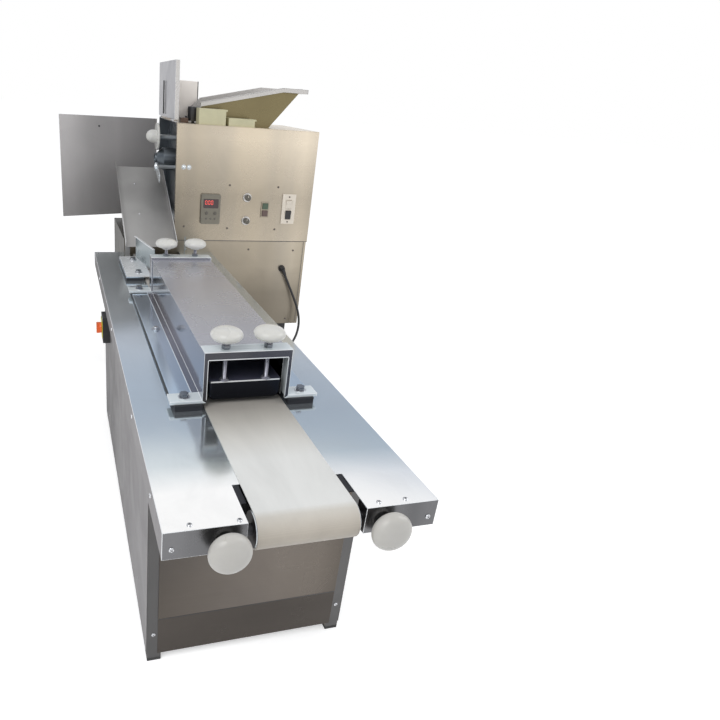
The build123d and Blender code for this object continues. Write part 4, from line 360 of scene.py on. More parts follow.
# Painted shade: a dark steel for the bulkhead, the auger barrel and the inner faces of the rear frame, in
# the shade inside the head
SHADED_MACHINE_STEEL = steel("shaded_machine_steel", (0.1, 0.115, 0.13), 0.3, CAST, 0.25, 0.08, metal=0.7)
SCREW_STEEL = steel("screw_steel", (0.62, 0.63, 0.65), 0.25, TURNED, 0.08, 0.06)
DULL_SCREW = steel("dull_screw", (0.16, 0.14, 0.12), 0.4, TURNED, 0.1, 0.06)
ROD_STEEL = steel("rod_steel", (0.4, 0.4, 0.45), 0.3, TURNED, 0.1, 0.04, metal=0.8)
NUT_STEEL = steel("nut_steel", (0.24, 0.25, 0.27), 0.16, TURNED, 0.1, 0.05)
KEYPAD_FOIL = steel("keypad_foil", (0.2, 0.185, 0.15), 0.4, TURNED, 0.05, 0.04, metal=0.5)
# Painted shade: the pressure board in the tunnel's shadow, its front near black and its top a little lighter
BOARD_IN_SHADE = steel("board_steel_in_shade", (0.022, 0.024, 0.032), 0.24, ALONG_X, 0.2, 0.04)
BOARD_TOP_IN_SHADE = steel("board_top_in_shade", (0.055, 0.057, 0.085), 0.45, ALONG_X, 0.2, 0.04, metal=0.1)

# Plastics, paint, rubber and canvas: colour, roughness, wear, grain
# Painted shade: a darker copy of the white nylon for the tension knobs, whose faces turn to the front
SHADED_GRIP_NYLON = plastic("shaded_grip_nylon", (0.525, 0.512, 0.482), 0.32, 0.06, 320, **soft(0.25))
WHITE_NYLON = plastic("white_nylon", (0.64, 0.635, 0.605), 0.3, 0.06, 320, **soft(0.25))
CREAM_NYLON = plastic("cream_nylon", (0.56, 0.53, 0.35), 0.45, 0.08, **soft(0.1))
BLACK = plastic("black_plastic", (0.022, 0.022, 0.024), 0.42, 0.2, 240)
BLACK_PAINT = plastic("black_paint", (0.025, 0.025, 0.028), 0.38, 0.2, 160)
RUBBER = plastic("rubber", (0.03, 0.03, 0.03), 0.62, 0.2, 200)
BROWN = plastic("brown_bracket", (0.11, 0.065, 0.045), 0.45, 0.15, 220)
ORANGE = plastic("orange_plastic", (0.86, 0.16, 0.03), 0.32, 0.08, **{"Coat Weight": 0.3})
YELLOW = plastic("yellow_plastic", (0.62, 0.6, 0.04), 0.35, 0.1)
GREEN = plastic("green_plastic", (0.075, 0.115, 0.075), 0.34, 0.12)
RED = plastic("red_plastic", (0.13, 0.085, 0.075), 0.34, 0.12)
WHITE = plastic("white_plastic", (0.78, 0.71, 0.61), 0.36, 0.05)
GREY = plastic("grey_plastic", (0.2, 0.185, 0.15), 0.4, 0.1)
DIAL_PLASTIC = plastic("dial_plastic", (0.12, 0.11, 0.09), 0.38, 0.15)
WINDOW = plastic("display_window", (0.035, 0.012, 0.014), 0.12, 0.1, 60, **{"Coat Weight": 0.5})
SEGMENT = glow("display_segment", (0.95, 0.1, 0.08), 0.7)
MOTOR_PAINT = plastic("motor_paint", (0.13, 0.17, 0.2), 0.4, 0.15, 140)
CORD = plastic("cord_rubber", (0.022, 0.022, 0.024), 0.5, 0.15, 420)
BELT = woven("belt_canvas", (0.715, 0.72, 0.705), 0.75, BELT_PAINTED_SHADE)
BELT_BACK = plastic("belt_back", (0.02, 0.02, 0.02), 0.8, 0.2, 300)
# Matt black, also used as painted shade in the front notch and under the rail plates
MATT_BLACK_AND_SHADE = plastic("matt_black_and_shade", (0.01, 0.011, 0.016), 0.7, 0.2, 300)

# Mesh helpers: shapes as (vertices, faces), in mm of the datum
WELD_GAP = 0.02


def square_to(axis):
    """An axis and two directions square to it, all of unit length."""
    axis = Vector(axis).normalized()
    side = axis.orthogonal().normalized()
    return axis, side, axis.cross(side)


def on_circle(origin, axes, height, r, a):
    axis, side, other = axes
    return Vector(origin) + axis * height + side * (r * cos(a)) + other * (r * sin(a))


def grid_faces(rows, steps, wrap=False):
    """Quads from each ring of points to the next, capped unless the rows wrap."""
    faces = []
    for k in range(rows if wrap else rows - 1):
        m = (k + 1) % rows
        for i in range(steps):
            j = (i + 1) % steps
            faces.append([k * steps + i, k * steps + j, m * steps + j, m * steps + i])
    if not wrap:
        faces += [list(range(steps)), list(range((rows - 1) * steps, rows * steps))]
    return faces


def lathe(profile, origin, axis, steps=48):
    """A turned body: profile of (radius, height) along an axis from an origin."""
    axes = square_to(axis)
    verts, faces, rings = [], [], []
    for r, h in profile:
        count = steps if r else 1
        rings.append([len(verts) + i for i in range(count)])
        verts += [on_circle(origin, axes, h, r, 2 * pi * i / steps) for i in range(count)]
    for a, b in zip(rings, rings[1:]):
        for i in range(steps):
            j = (i + 1) % steps
            quad = [a[i % len(a)], a[j % len(a)], b[j % len(b)], b[i % len(b)]]
            clean = [v for k, v in enumerate(quad) if v not in quad[:k]]
            if len(clean) > 2:
                faces.append(clean)
    faces += [list(ring) for ring in (rings[0], rings[-1]) if len(ring) > 1]
    return verts, faces


def prism(outline, origin, u, v, depth):
    """An outline on axes u and v, pushed along their cross product."""
    u, v = Vector(u).normalized(), Vector(v).normalized()
    push = u.cross(v) * depth
    base = [Vector(origin) + u * p + v * q for p, q in outline]
    n = len(outline)
    faces = [list(range(n)), list(range(n, 2 * n))]
    faces += [[i, (i + 1) % n, n + (i + 1) % n, n + i] for i in range(n)]
    return base + [b + push for b in base], faces


def box_data(x, y, z):
    outline = ((x[0], z[0]), (x[1], z[0]), (x[1], z[1]), (x[0], z[1]))
    return prism(outline, (0, y[1], 0), X_AXIS, Z_AXIS, y[1] - y[0])


def on_front(outline, x, z, depth, stand=0):
    """An outline on or before the head's front panel, pushed forwards."""
    return prism(outline, (x, HEAD_Y - stand, z), X_AXIS, Z_AXIS, depth)


def round_rect(w, h, r, steps=5):
    points = []
    for quarter, (sx, sy) in enumerate(((1, 1), (-1, 1), (-1, -1), (1, -1))):
        for i in range(steps + 1):
            a = radians(90 * (quarter + i / steps))
            points.append((sx * (w / 2 - r) + r * cos(a), sy * (h / 2 - r) + r * sin(a)))
    return points


def join(parts):
    verts, faces = [], []
    for v, f in parts:
        faces += [[i + len(verts) for i in face] for face in f]
        verts += v
    return verts, faces


def bevel_edges(obj, width, segments=2, angle=radians(40)):
    edge = obj.modifiers.new("edge", "BEVEL")
    edge.width = width * MM
    edge.segments = segments
    edge.limit_method = "ANGLE"
    edge.angle_limit = angle
    edge.harden_normals = True
    return edge


def add_mesh(name, verts, faces, smooth):
    """A mesh object with outward faces, smooth below an angle in degrees."""
    mesh = bpy.data.meshes.new(name)
    mesh.from_pydata([tuple(at(*v)) for v in verts], [], faces)
    mesh.update()
    bm = bmesh.new()
    bm.from_mesh(mesh)
    bmesh.ops.recalc_face_normals(bm, faces=bm.faces)
    bm.to_mesh(mesh)
    bm.free()
    for p in mesh.polygons:
        p.use_smooth = True
    mesh.set_sharp_from_angle(angle=radians(smooth))
    obj = bpy.data.objects.new(name, mesh)
    bpy.context.scene.collection.objects.link(obj)
    return obj


def piece(name, data, mat, body="machine", bevel=0, smooth=35, node=None):
    """A piece of one shape or a list, which rides on a body and may stand in for a node."""
    obj = add_mesh(name, *(join(data) if isinstance(data, list) else data), smooth)
    obj.data.materials.append(mat)
    if bevel:
        bevel_edges(obj, bevel)
    if body:
        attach(obj, body)
    if node:
        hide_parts(node)
    return obj


def dress(node, mat, bevel=0, highlight_mat=None):
    """Gives a CAD node its material and a fine edge, which may carry a painted highlight."""
    obj = NODES[node]
    obj.data.materials.clear()
    obj.data.materials.append(mat)
    if bevel:
        weld = obj.modifiers.new("weld", "WELD")
        weld.merge_threshold = WELD_GAP * MM
        edge = bevel_edges(obj, bevel)
        if highlight_mat:
            obj.data.materials.append(highlight_mat)
            edge.material = 1


def paint(node, mat, test):
    """Gives faces of a CAD node another material where their middle passes a test."""
    mesh = NODES[node].data
    mesh.materials.append(mat)
    index = len(mesh.materials) - 1
    for p in mesh.polygons:
        if test(p.center / MM - TABLE):
            p.material_index = index


# Mains lead: gland, lead to the floor, put-away coil and plug
CORD_D = 10
GLAND = Vector((558, HEAD_Y - 19, 461))
GLAND_LEAN, GLAND_LEN = radians(26), 30
GLAND_DIR = Vector((sin(GLAND_LEAN), 0, -cos(GLAND_LEAN)))
GLAND_COLLAR = ((0, 0), (15, 0), (15, 2), (13, 2.4), (13, 9), (12, 10.5), (12, 14), (9.5, 19), (0, 21))
CORD_START = GLAND + GLAND_DIR * GLAND_LEN
CORD_LEAD = 46
CORD_ROUTE = (
    (45, -9, 341), (66, -22, 289), (76, -36, 235), (69, -46, 181),
    (47, -49, 131), (15, -45, 88), (-23, -37, 53), (-64, -21, 26),
    (-105, 1, 10), (-143, 27, 5.2), (-176, 54, 5.2),
)
CORD_TAIL = (24, 62)
PLUG_SECTIONS = ((0, 13, 15), (7, 15, 17), (16, 24, 30), (26, 29, 36), (44, 30, 38), (52, 28, 35))
PIN_PROFILE = ((0, 0), (2.4, 0), (2.4, 17), (1.6, 18.8), (0, 19))


def cord_points(pitch=CORD_D + 0.6, half_turns=(6, 5), outer_r=73, run_in=14, steps=8):
    """Points of the lead with its coil of two layers, and its far end's place and direction."""
    points = [CORD_START, CORD_START + GLAND_DIR * CORD_LEAD]
    points += [Vector((CORD_START.x + dx, CORD_START.y + dy, z)) for dx, dy, z in CORD_ROUTE]
    along = (points[-1] - points[-2]).normalized()
    right = Vector((along.y, -along.x, 0))
    start = points[-1] + along * run_in
    # The curve runs inside its points, which are set wider by as much
    swell = 1 / (0.75 + 0.25 * cos(pi / steps))
    centre = radius = outer_r
    flip = 1

    def turn(height):
        base = 0 if flip > 0 else pi
        for i in range(steps):
            t = (i + 0.5) / steps
            a = base + pi * t
            r = radius * swell
            lift = Vector((0, 0, height(t)))
            points.append(start + right * (centre - r * cos(a)) + along * (r * sin(a)) + lift)

    for half in range(half_turns[0]):
        turn(lambda t: 0)
        centre += flip * pitch / 2
        radius -= pitch / 2
        flip = -flip
    turn(lambda t: pitch * t * t * (3 - 2 * t))
    flip = -flip
    for half in range(half_turns[1]):
        centre += flip * pitch / 2
        radius += pitch / 2
        turn(lambda t: pitch)
        flip = -flip
    base = 2 * pi if flip > 0 else pi
    end = start + right * (centre - radius * cos(base)) + along * (radius * sin(base))
    end.z += pitch
    out = (right * sin(base) + along * cos(base)).normalized()
    points += [end + out * tail for tail in CORD_TAIL]
    return points, points[-1], out


CORD_LINE, CORD_END, CORD_OUT = cord_points()


def make_cord():
    curve = bpy.data.curves.new("mains_lead", "CURVE")
    curve.dimensions = "3D"
    curve.bevel_depth = CORD_D / 2 * MM
    curve.bevel_resolution = 5
    curve.resolution_u = 6
    curve.use_fill_caps = True
    spline = curve.splines.new("NURBS")
    spline.points.add(len(CORD_LINE) - 1)
    for point, place in zip(spline.points, CORD_LINE):
        point.co = (*at(*place), 1)
    spline.order_u = 3
    spline.use_endpoint_u = True
    obj = bpy.data.objects.new("mains_lead", curve)
    bpy.context.scene.collection.objects.link(obj)
    curve.materials.append(CORD)
    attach(obj, "machine")
    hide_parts("power_cord", "cord_coil")
    return obj


def make_gland(rib_count=6, pitch=4.6, first_r=8.6, taper=0.38, groove=0.9):
    collar = lathe(GLAND_COLLAR, (GLAND.x, HEAD_Y, GLAND.z), FRONT, 12)
    ribs = [(0, -2), (9, -2)]
    for i in range(rib_count):
        h = 1 + i * pitch
        r = first_r - i * taper
        ribs += [(r, h), (r, h + 2.6), (r - groove, h + 2.9), (r - groove, h + 4.3)]
    ribs += [(5.6, GLAND_LEN), (0, GLAND_LEN)]
    sleeve = lathe(ribs, GLAND, GLAND_DIR, 24)
    piece("cord_gland", [collar, sleeve], BLACK, smooth=30, node="cord_fittings")


def make_plug(gap=0.15, corner=0.28, pin_half=9.5):
    up = Vector(Z_AXIS)
    side = up.cross(CORD_OUT)
    verts = []
    for along, h, w in PLUG_SECTIONS:
        ring = round_rect(w, h, min(h, w) * corner, 4)
        verts += [CORD_END + CORD_OUT * (along + gap) + side * p + up * q for p, q in ring]
    shell = (verts, grid_faces(len(PLUG_SECTIONS), len(ring)))
    body = piece("plug_body", shell, BLACK, "machine", 0.8, 30, "cord_fittings")
    face = CORD_END + CORD_OUT * PLUG_SECTIONS[-1][0]
    pins = [lathe(PIN_PROFILE, face + side * (hand * pin_half), CORD_OUT, 20) for hand in (-1, 1)]
    return [body, piece("plug_pins", pins, SCREW_STEEL, smooth=40, node="cord_fittings")]


CORD_OBJ = make_cord()
make_gland()
PLUG = make_plug()

# White knobs on threaded studs
def dome_profile(r, height, foot_r, foot_h, flare=1.12, belly=0.46, under=(8, 0.8), crown=(12, 0.72)):
    """Half section of a knob on a foot, with steps and roundness below and above."""
    neck = foot_r * flare
    points = [(0, 0), (foot_r, 0), (foot_r, foot_h * 0.6), (neck, foot_h)]
    for i in range(1, under[0] + 1):
        a = radians(90 * (i / under[0] - 1))
        rise = belly * (1 + sin(a))
        points.append((neck + (r - neck) * cos(a) ** under[1], foot_h + height * rise))
    for i in range(1, crown[0]):
        a = radians(90 * i / crown[0])
        rise = belly + (1 - belly) * sin(a)
        points.append((r * cos(a) ** crown[1], foot_h + height * rise))
    return points + [(0, foot_h + height)]


def thread_data(origin, axis, length, radius, pitch=1.75, depth=0.85, steps=20, rows_a_turn=4):
    """A rod with a real helical thread."""
    axes = square_to(axis)
    rows = int(length / pitch * rows_a_turn)
    verts = []
    for k in range(rows + 1):
        h = length * k / rows
        for i in range(steps):
            phase = (h / pitch - i / steps) % 1
            r = radius - depth * abs(phase - 0.5) * 2
            verts.append(on_circle(origin, axes, h, r, 2 * pi * i / steps))
    return verts, grid_faces(rows + 1, steps)


def hex_nut(origin, across=16, height=2.6, bore=5.2, steps=24, chamfer=0.14, rounding=0.97):
    """An upright nut with rounded corners at both ends."""
    axes = square_to(Z_AXIS)
    corner, face_r = across / 2 / cos(pi / 6), across / 2 * rounding
    low, high = height * chamfer, height * (1 - chamfer)
    rows = ((bore, 0), (face_r, 0), (corner, low), (corner, high), (face_r, height), (bore, height))
    verts = []
    for r, h in rows:
        for i in range(steps):
            a = 2 * pi * i / steps
            flat = across / 2 / cos((a + pi / 6) % (pi / 3) - pi / 6)
            verts.append(on_circle(origin, axes, h, min(r, flat), a))
    return verts, grid_faces(len(rows), steps, wrap=True)


PRESS_X, TENSION_X = 46, 137
PRESS_KNOB, TENSION_KNOB = dome_profile(34, 27, 13, 4), dome_profile(35, 33.6, 15.4, 7)
PRESS_WASHER = ((5.4, 0.3), (10.4, 0.3), (10.4, 1.8), (5.4, 1.8))
PRESS_ENDS = (("front", 392, 672), ("rear", 1150, 681))


def make_press_screw(end, hand, x, y, knob_z, grip=20, rod_r=5, rod_in=2):
    body, node = f"press_{end}_{hand}", f"press_knob_{end}_{hand}"
    knob = lathe(PRESS_KNOB, (x, y, knob_z), Z_AXIS, 56)
    piece(f"knob_{end}_{hand}", knob, WHITE_NYLON, body, smooth=50, node=node)
    low, top = BOARD_HIGH.z - grip, BOARD_HIGH.z
    rod = thread_data((x, y, low), Z_AXIS, knob_z + rod_in - low, rod_r)
    washer = lathe(PRESS_WASHER, (x, y, top), Z_AXIS, 32)
    nut = hex_nut((x, y, top + PRESS_WASHER[-1][1]))
    piece(f"stud_{end}_{hand}", [rod, washer, nut], ROD_STEEL, body=body, smooth=30, node=node)


def make_tension_screw(hand, x, z=500, foot_y=-6, rod_y=42, rod_len=50, rod_r=6):
    body, node = f"tension_{hand}", f"tension_knob_{hand}"
    knob = lathe(TENSION_KNOB, (x, foot_y, z), FRONT, 56)
    piece(f"tension_grip_{hand}", knob, SHADED_GRIP_NYLON, body, smooth=50, node=node)
    rod = thread_data((x, rod_y, z), FRONT, rod_len, rod_r)
    piece(f"tension_screw_{hand}", rod, BRIGHT_STEEL, body=body, smooth=30, node=node)


for end, press_y, knob_z in PRESS_ENDS:
    for hand, side in SIDES:
        make_press_screw(end, hand, side * PRESS_X, press_y, knob_z)
for hand, side in SIDES:
    make_tension_screw(hand, side * TENSION_X)

# Conveyor belt, which stretches between the base and the take-up
BELT_HALF, BELT_T = 88, 2.5
EDGE_ROUND, EDGE_SHOULDER, BACK_GAP, BACK_EDGE_GAP = 0.5, 2.1, 0.05, 0.15
BACK_IN = BELT_HALF - 0.4
BELT_SIDE = ((BELT_HALF - EDGE_ROUND, BELT_T), (BELT_HALF, EDGE_SHOULDER), (BELT_HALF, BACK_EDGE_GAP))
BELT_TOP = tuple((x, BELT_T) for x in (-60, -30, 0, 30, 60))
BELT_UNDER = ((BACK_IN, BACK_GAP), (0, BACK_GAP), (-BACK_IN, BACK_GAP))
BELT_SECTION = (*((-x, h) for x, h in reversed(BELT_SIDE)), *BELT_TOP, *BELT_SIDE, *BELT_UNDER)
BELT_BACK_FROM = len(BELT_SECTION) - len(BELT_UNDER) - 1


def belt_data(r=30, drum_z=500, near=20, far=1672, run_steps=60, wrap_steps=24):
    """The belt's section swept along both runs and round both drums."""
    path = []
    for start, end, up in ((near, far, 1), (far, near, -1)):
        for i in range(run_steps):
            path.append((start + (end - start) * i / run_steps, drum_z + up * r, 0, up))
        for i in range(wrap_steps):
            a = radians(up * 90 - 180 * i / wrap_steps)
            path.append((end + r * cos(a), drum_z + r * sin(a), cos(a), sin(a)))
    verts = [(x, y + ny * h, z + nz * h) for y, z, ny, nz in path for x, h in BELT_SECTION]
    return verts, grid_faces(len(path), len(BELT_SECTION), wrap=True)


belt = piece("belt_loop", belt_data(), BELT, None, smooth=60)
belt.data.materials.append(BELT_BACK)
for face in belt.data.polygons:
    if face.index % len(BELT_SECTION) >= BELT_BACK_FROM:
        face.material_index = 1
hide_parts("conveyor_belt")
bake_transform(belt)

# Painted shade: black strips that close the gaps beside the belt in the front notch
STRIP_X, STRIP_Y, STRIP_Z = (90.6, 116), (52, 106), (525.8, 527.8)
strips = [box_data(sorted(side * x for x in STRIP_X), STRIP_Y, STRIP_Z) for hand, side in SIDES]
piece("notch_shade_strips", strips, MATT_BLACK_AND_SHADE, bevel=0.2)

# Rails beside the belt: black bars, bare under the bridges, with bright plates between; the bars' black is
# partly their own colour and partly painted shade under the plates
RAIL_X, RAIL_TOP, PLATE_T = (94, RAIL_HIGH.x), RAIL_HIGH.z, 3.6
NEAR_RAIL, FAR_RAIL = (RAIL_LOW.y, 1206), (1308, RAIL_HIGH.y)
NEAR_BARE, FAR_BARE = (RAIL_LOW.y, 420), (1122, 1178)
BARE_GAP, BAR_INSET, BAR_SIDE_IN, BAR_LAP, BAR_SINK = 0.4, 1.5, 0.4, 0.2, 0.05
PLATE_SPANS = ((NEAR_BARE[1], FAR_BARE[0]), (FAR_BARE[1], NEAR_RAIL[1]), FAR_RAIL)
BAR_SPANS = ((NEAR_BARE[0], NEAR_BARE[1] - BARE_GAP), (FAR_BARE[0] + BARE_GAP, FAR_BARE[1] - BARE_GAP))
rail_bars, rail_plates = [], []
for hand, side in SIDES:
    bar_x = sorted((side * (RAIL_X[0] + BAR_SIDE_IN), side * (RAIL_X[1] - BAR_INSET)))
    plate_x = sorted(side * x for x in RAIL_X)
    plate_low = RAIL_TOP - PLATE_T
    for near, far in (NEAR_RAIL, FAR_RAIL):
        bar_y = (near + BAR_INSET, far - BAR_INSET)
        rail_bars.append(box_data(bar_x, bar_y, (TABLE_H, plate_low + BAR_LAP)))
    rail_bars += [box_data(bar_x, span, (plate_low, RAIL_TOP - BAR_SINK)) for span in BAR_SPANS]
    rail_plates += [box_data(plate_x, span, (plate_low, RAIL_TOP)) for span in PLATE_SPANS]
piece("rail_bars", rail_bars, MATT_BLACK_AND_SHADE, bevel=0.3, node="platform_rails")
piece("rail_plates", rail_plates, RAIL_STEEL, bevel=0.5, node="platform_rails")

# Screws with crossed slots
SCREW_R, SCREW_H, SCREW_SINK = 4.5, 2.5, 0.2
SCREW_ROUND = ((1, 0.3), (0.93, 0.62), (0.7, 0.88), (0.4, 1), (0, 1))


def screw_data(place, normal, r=SCREW_R, h=SCREW_H):
    profile = [(0, -SCREW_SINK), (r, -SCREW_SINK)] + [(r * wide, h * tall) for wide, tall in SCREW_ROUND]
    return lathe(profile, place, normal, 24)


def slot_data(place, normal, half=0.5, share=0.6, deep=0.9, thick=1):
    n, u, v = square_to(normal)
    reach = SCREW_R * share
    outline = ((-reach, -half), (reach, -half), (reach, half), (-reach, half))
    foot = Vector(place) + n * (SCREW_H - deep)
    return join([prism(outline, foot, a, b, thick) for a, b in ((u, v), (v, -u))])


DECK_SCREW_XY = ((-193, 12), (-114, 9), (129, 12), (179, 12))
TABLE_SCREWS = [((x, 0, 497), FRONT) for x in (-222, 222)]
TABLE_SCREWS += [((x, 224, 75), FRONT) for x in (-211, 211)]
TABLE_SCREWS += [((-237, y, 512), LEFT) for y in (120, 395, 900, 1400)]
TABLE_SCREWS += [((-224, y, 85), LEFT) for y in (385, 1180)]
TABLE_SCREWS += [((x, y, TABLE_H), Z_AXIS) for x, y in DECK_SCREW_XY]
HEAD_SCREW_XZ = (
    (118, 637), (300, 632), (508, 631), (301, 805), (508, 804), (400, 544), (602, 541), (599, 228),
)
HEAD_SCREWS = [((x, HEAD_Y, z), FRONT) for x, z in HEAD_SCREW_XZ]
DOME_NUT = ((0, -0.2), (9, -0.2), (9, 1), (7, 1), (7, 3.2), (6.2, 5.4), (4.4, 7.2), (2.2, 8.2), (0, 8.5))
DOME_NUT_X, DOME_NUT_Z = (110, 131), 867
heads = [screw_data(*place) for place in TABLE_SCREWS]
dull_heads = [screw_data(*place) for place in HEAD_SCREWS]
slots = [slot_data(*place) for place in TABLE_SCREWS + HEAD_SCREWS]
dome_nuts = [lathe(DOME_NUT, (x, HEAD_Y, DOME_NUT_Z), FRONT, 32) for x in DOME_NUT_X]
piece("screw_heads", heads, SCREW_STEEL, smooth=40, node="panel_screws")
piece("dull_screw_heads", dull_heads, DULL_SCREW, smooth=40, node="panel_screws")
piece("screw_slots", slots, DARK_STEEL, node="panel_screws")
piece("dome_nuts", dome_nuts, BRIGHT_STEEL, smooth=40, node="panel_screws")

# Keypad with a lit display: height of its middle, width, height, corner, depth, stand, width of its edge
KEYPAD_X, KEY_STAND, DIGIT_X = 224, 11.8, (204, 216, 228)
KEYPAD = (
    ("bezel", GREY, 709, 80, 118, 6, 11.6, 0, 1.6),
    ("face", KEYPAD_FOIL, 709, 70, 108, 4, 0.6, 11.4, 0.2),
    ("window", WINDOW, 732, 62, 36, 2, 0.9, 11.8, 0.2),
)
BIG_KEY = ((0, 0), (7, 0), (7, 1.2), (5.6, 2), (0, 2.2))
SMALL_KEY = ((0, 0), (4, 0), (4, 1), (3.2, 1.6), (0, 1.8))
KEY_ROWS = ((694, (207, 242), BIG_KEY, 32), (672, (207, 224.5, 242), SMALL_KEY, 24))


def nought_data(x, z=736, w=7, h=15, bar=1.7, gap=1.2, corner=0.5, depth=0.35, stand=12.6):
    """Lit bars of a nought on a bar display."""
    bars = [(x, z + up * h / 2, w - gap, bar) for up in (1, -1)]
    for side in (-1, 1):
        bars += [(x + side * w / 2, z + up * h / 4, bar, h / 2 - gap) for up in (1, -1)]
    return join([on_front(round_rect(*size, corner, 2), x, z, depth, stand) for x, z, *size in bars])


for name, mat, z, w, h, corner, depth, stand, bevel in KEYPAD:
    plate = on_front(round_rect(w, h, corner), KEYPAD_X, z, depth, stand)
    piece(f"keypad_{name}", plate, mat, bevel=bevel, node="control_plates")
digits = [nought_data(x) for x in DIGIT_X]
piece("keypad_digits", digits, SEGMENT, node="control_plates")
keys = [
    lathe(profile, (x, HEAD_Y - KEY_STAND, z), FRONT, steps)
    for z, row, profile, steps in KEY_ROWS for x in row
]
piece("keypad_keys", keys, DIAL_PLASTIC, smooth=40, node="control_plates")

# Plates round the push buttons and the rockers: middle height, width, height, thickness, play
BUTTON_PLATE = (711.5, 34, 63, 4, 0.6)
ROCKER_PLATE_T = 5
ROCKER_PLATE = (717, 58, 122, ROCKER_PLATE_T, 4)
PLATE_SCREW_X, PLATE_SCREW_Z, PLATE_SCREW_R, PLATE_SCREW_H = 560, (766.5, 664.5), 3.4, 1.6


def plate_with_windows(nodes, z, w, h, t, play, side_play=0.6):
    """A plate on the panel, as strips round a window for each node."""
    boxes = [datum_box(node) for node in nodes]
    low, high = boxes[0]
    x = (low.x + high.x) / 2
    half = (high.x - low.x + side_play) / 2
    holes = [(low.z - play / 2, high.z + play / 2) for low, high in boxes]
    edges = sorted([z - h / 2, z + h / 2] + [v for hole in holes for v in hole])
    parts = []
    for lo, hi in zip(edges, edges[1:]):
        spans = [(x - w / 2, x + w / 2)]
        if any(start < (lo + hi) / 2 < end for start, end in holes):
            spans = [(x - w / 2, x - half), (x + half, x + w / 2)]
        parts += [box_data(span, (HEAD_Y - t, HEAD_Y), (lo, hi)) for span in spans]
    return parts


button_frame = plate_with_windows(("start_button", "stop_button"), *BUTTON_PLATE)
piece("button_frame", button_frame, CABINET_STEEL, node="control_plates")
rocker_plate = plate_with_windows(("rocker_upper", "rocker_lower"), *ROCKER_PLATE)
piece("rocker_plate", rocker_plate, WHITE, node="control_plates")
plate_screws = [
    screw_data((PLATE_SCREW_X, HEAD_Y - ROCKER_PLATE_T, z), FRONT, PLATE_SCREW_R, PLATE_SCREW_H)
    for z in PLATE_SCREW_Z
]
piece("plate_screws", plate_screws, DULL_SCREW, smooth=40, node="control_plates")

# Dials with ribbed grips on pale skirts
DIALS = (("upper", "dial_a", 377, 759), ("lower", "dial_b", 378, 665))
DIAL_GAP, DIAL_SKIRT = 0.3, ((0, 0), (19, 0), (19, 1.6), (17.5, 4.6), (0, 5))
GRIP_STAND, GRIP_T, MARK_STAND, MARK_T = DIAL_GAP + 5, 14.8, DIAL_GAP + 19.6, 0.4
MARK_OUTLINE = ((-0.8, 2), (0.8, 2), (0.8, 10), (-0.8, 10))


def grip_outline(grip_r=12, groove_r=11.1, count=72):
    """A circle with a groove at every third point."""
    points = []
    for i in range(count):
        a = 2 * pi * i / count
        r = grip_r if i % 3 else groove_r
        points.append((r * cos(a), r * sin(a)))
    return points


for name, body, x, z in DIALS:
    node = f"dial_{name}"
    skirt = lathe(DIAL_SKIRT, (x, HEAD_Y - DIAL_GAP, z), FRONT)
    piece(f"dial_skirt_{name}", skirt, RIM_STEEL, body=body, smooth=30, node=node)
    grip = on_front(grip_outline(), x, z, GRIP_T, GRIP_STAND)
    piece(f"dial_grip_{name}", grip, DIAL_PLASTIC, body, 0.5, 30, node)
    mark = on_front(MARK_OUTLINE, x, z, MARK_T, MARK_STAND)
    piece(f"dial_mark_{name}", mark, WHITE, body, node=node)


# Isolator: yellow plate round the handle
def isolator_plate(place=(-248, 1150, 425), w=54, bore=18.6, depth=2, steps=48):
    """A square plate with a round hole, on the left of its box."""
    push = Vector(LEFT) * depth
    verts = []
    for i in range(steps):
        a = 2 * pi * i / steps
        out = Vector((0, sin(a), cos(a)))
        edge = w / 2 / max(abs(cos(a)), abs(sin(a)))
        section = (out * bore, out * edge, out * edge + push, out * bore + push)
        verts += [Vector(place) + corner for corner in section]
    return verts, grid_faces(steps, len(section), wrap=True)


piece("isolator_plate", isolator_plate(), YELLOW, bevel=0.4)

# Looks of the CAD solids: material, width of the fine edge, nodes
DRESSED = (
    (BASE_STEEL, 0.5, "base_frame base_panels"), (CABINET_STEEL, 0.6, "lower_cabinet"),
    (CABINET_STEEL, 0.5, "lower_front_panel"), (HEAD_STEEL, 0.6, "head_front_panel head_roof"),
    # The bulkhead and the auger barrel in painted shade
    (HEAD_STEEL, 0.5, "head_right_panel head_rear_frame"), (SHADED_MACHINE_STEEL, 0.5, "bulkhead"),
    (SHADED_MACHINE_STEEL, 0.6, "auger_barrel"), (BRIGHT_STEEL, 0, "front_roller rear_roller auger"),
    (BRIGHT_STEEL, 0.4, "cutter"), (DARK_STEEL, 0, "motor_sprocket feed_pinion"),
    (DARK_STEEL, 0.4, "drive_chain"), (DARK_STEEL, 0.6, "take_up_blocks"),
    (SCREW_STEEL, 0.4, "bridge_bolts"), (SCREW_STEEL, 0.3, "hinge_pins"),
    (HOPPER_STEEL, 0.6, "hopper"), (CHUTE_STEEL, 0.8, "chute"),
    (SHIELD_STEEL, 0.6, "side_shield"), (WHITE_NYLON, 0, "feed_roller_left feed_roller_right"),
    (WHITE_NYLON, 1, "hand_wheel"), (CREAM_NYLON, 0.8, "bearing_blocks"), (BLACK, 2, "isolator_box"),
    (BLACK, 0.8, "gap_knob rocker_lower"), (WHITE, 0.8, "rocker_upper"),
    (BLACK_PAINT, 1.5, "head_legs"), (MOTOR_PAINT, 1, "gear_motors"), (RUBBER, 0.8, "floor_feet"),
    (BROWN, 1.2, "gap_bracket"), (ORANGE, 1.2, "isolator_handle"), (GREEN, 1, "start_button"),
    (RED, 1, "stop_button"),
)
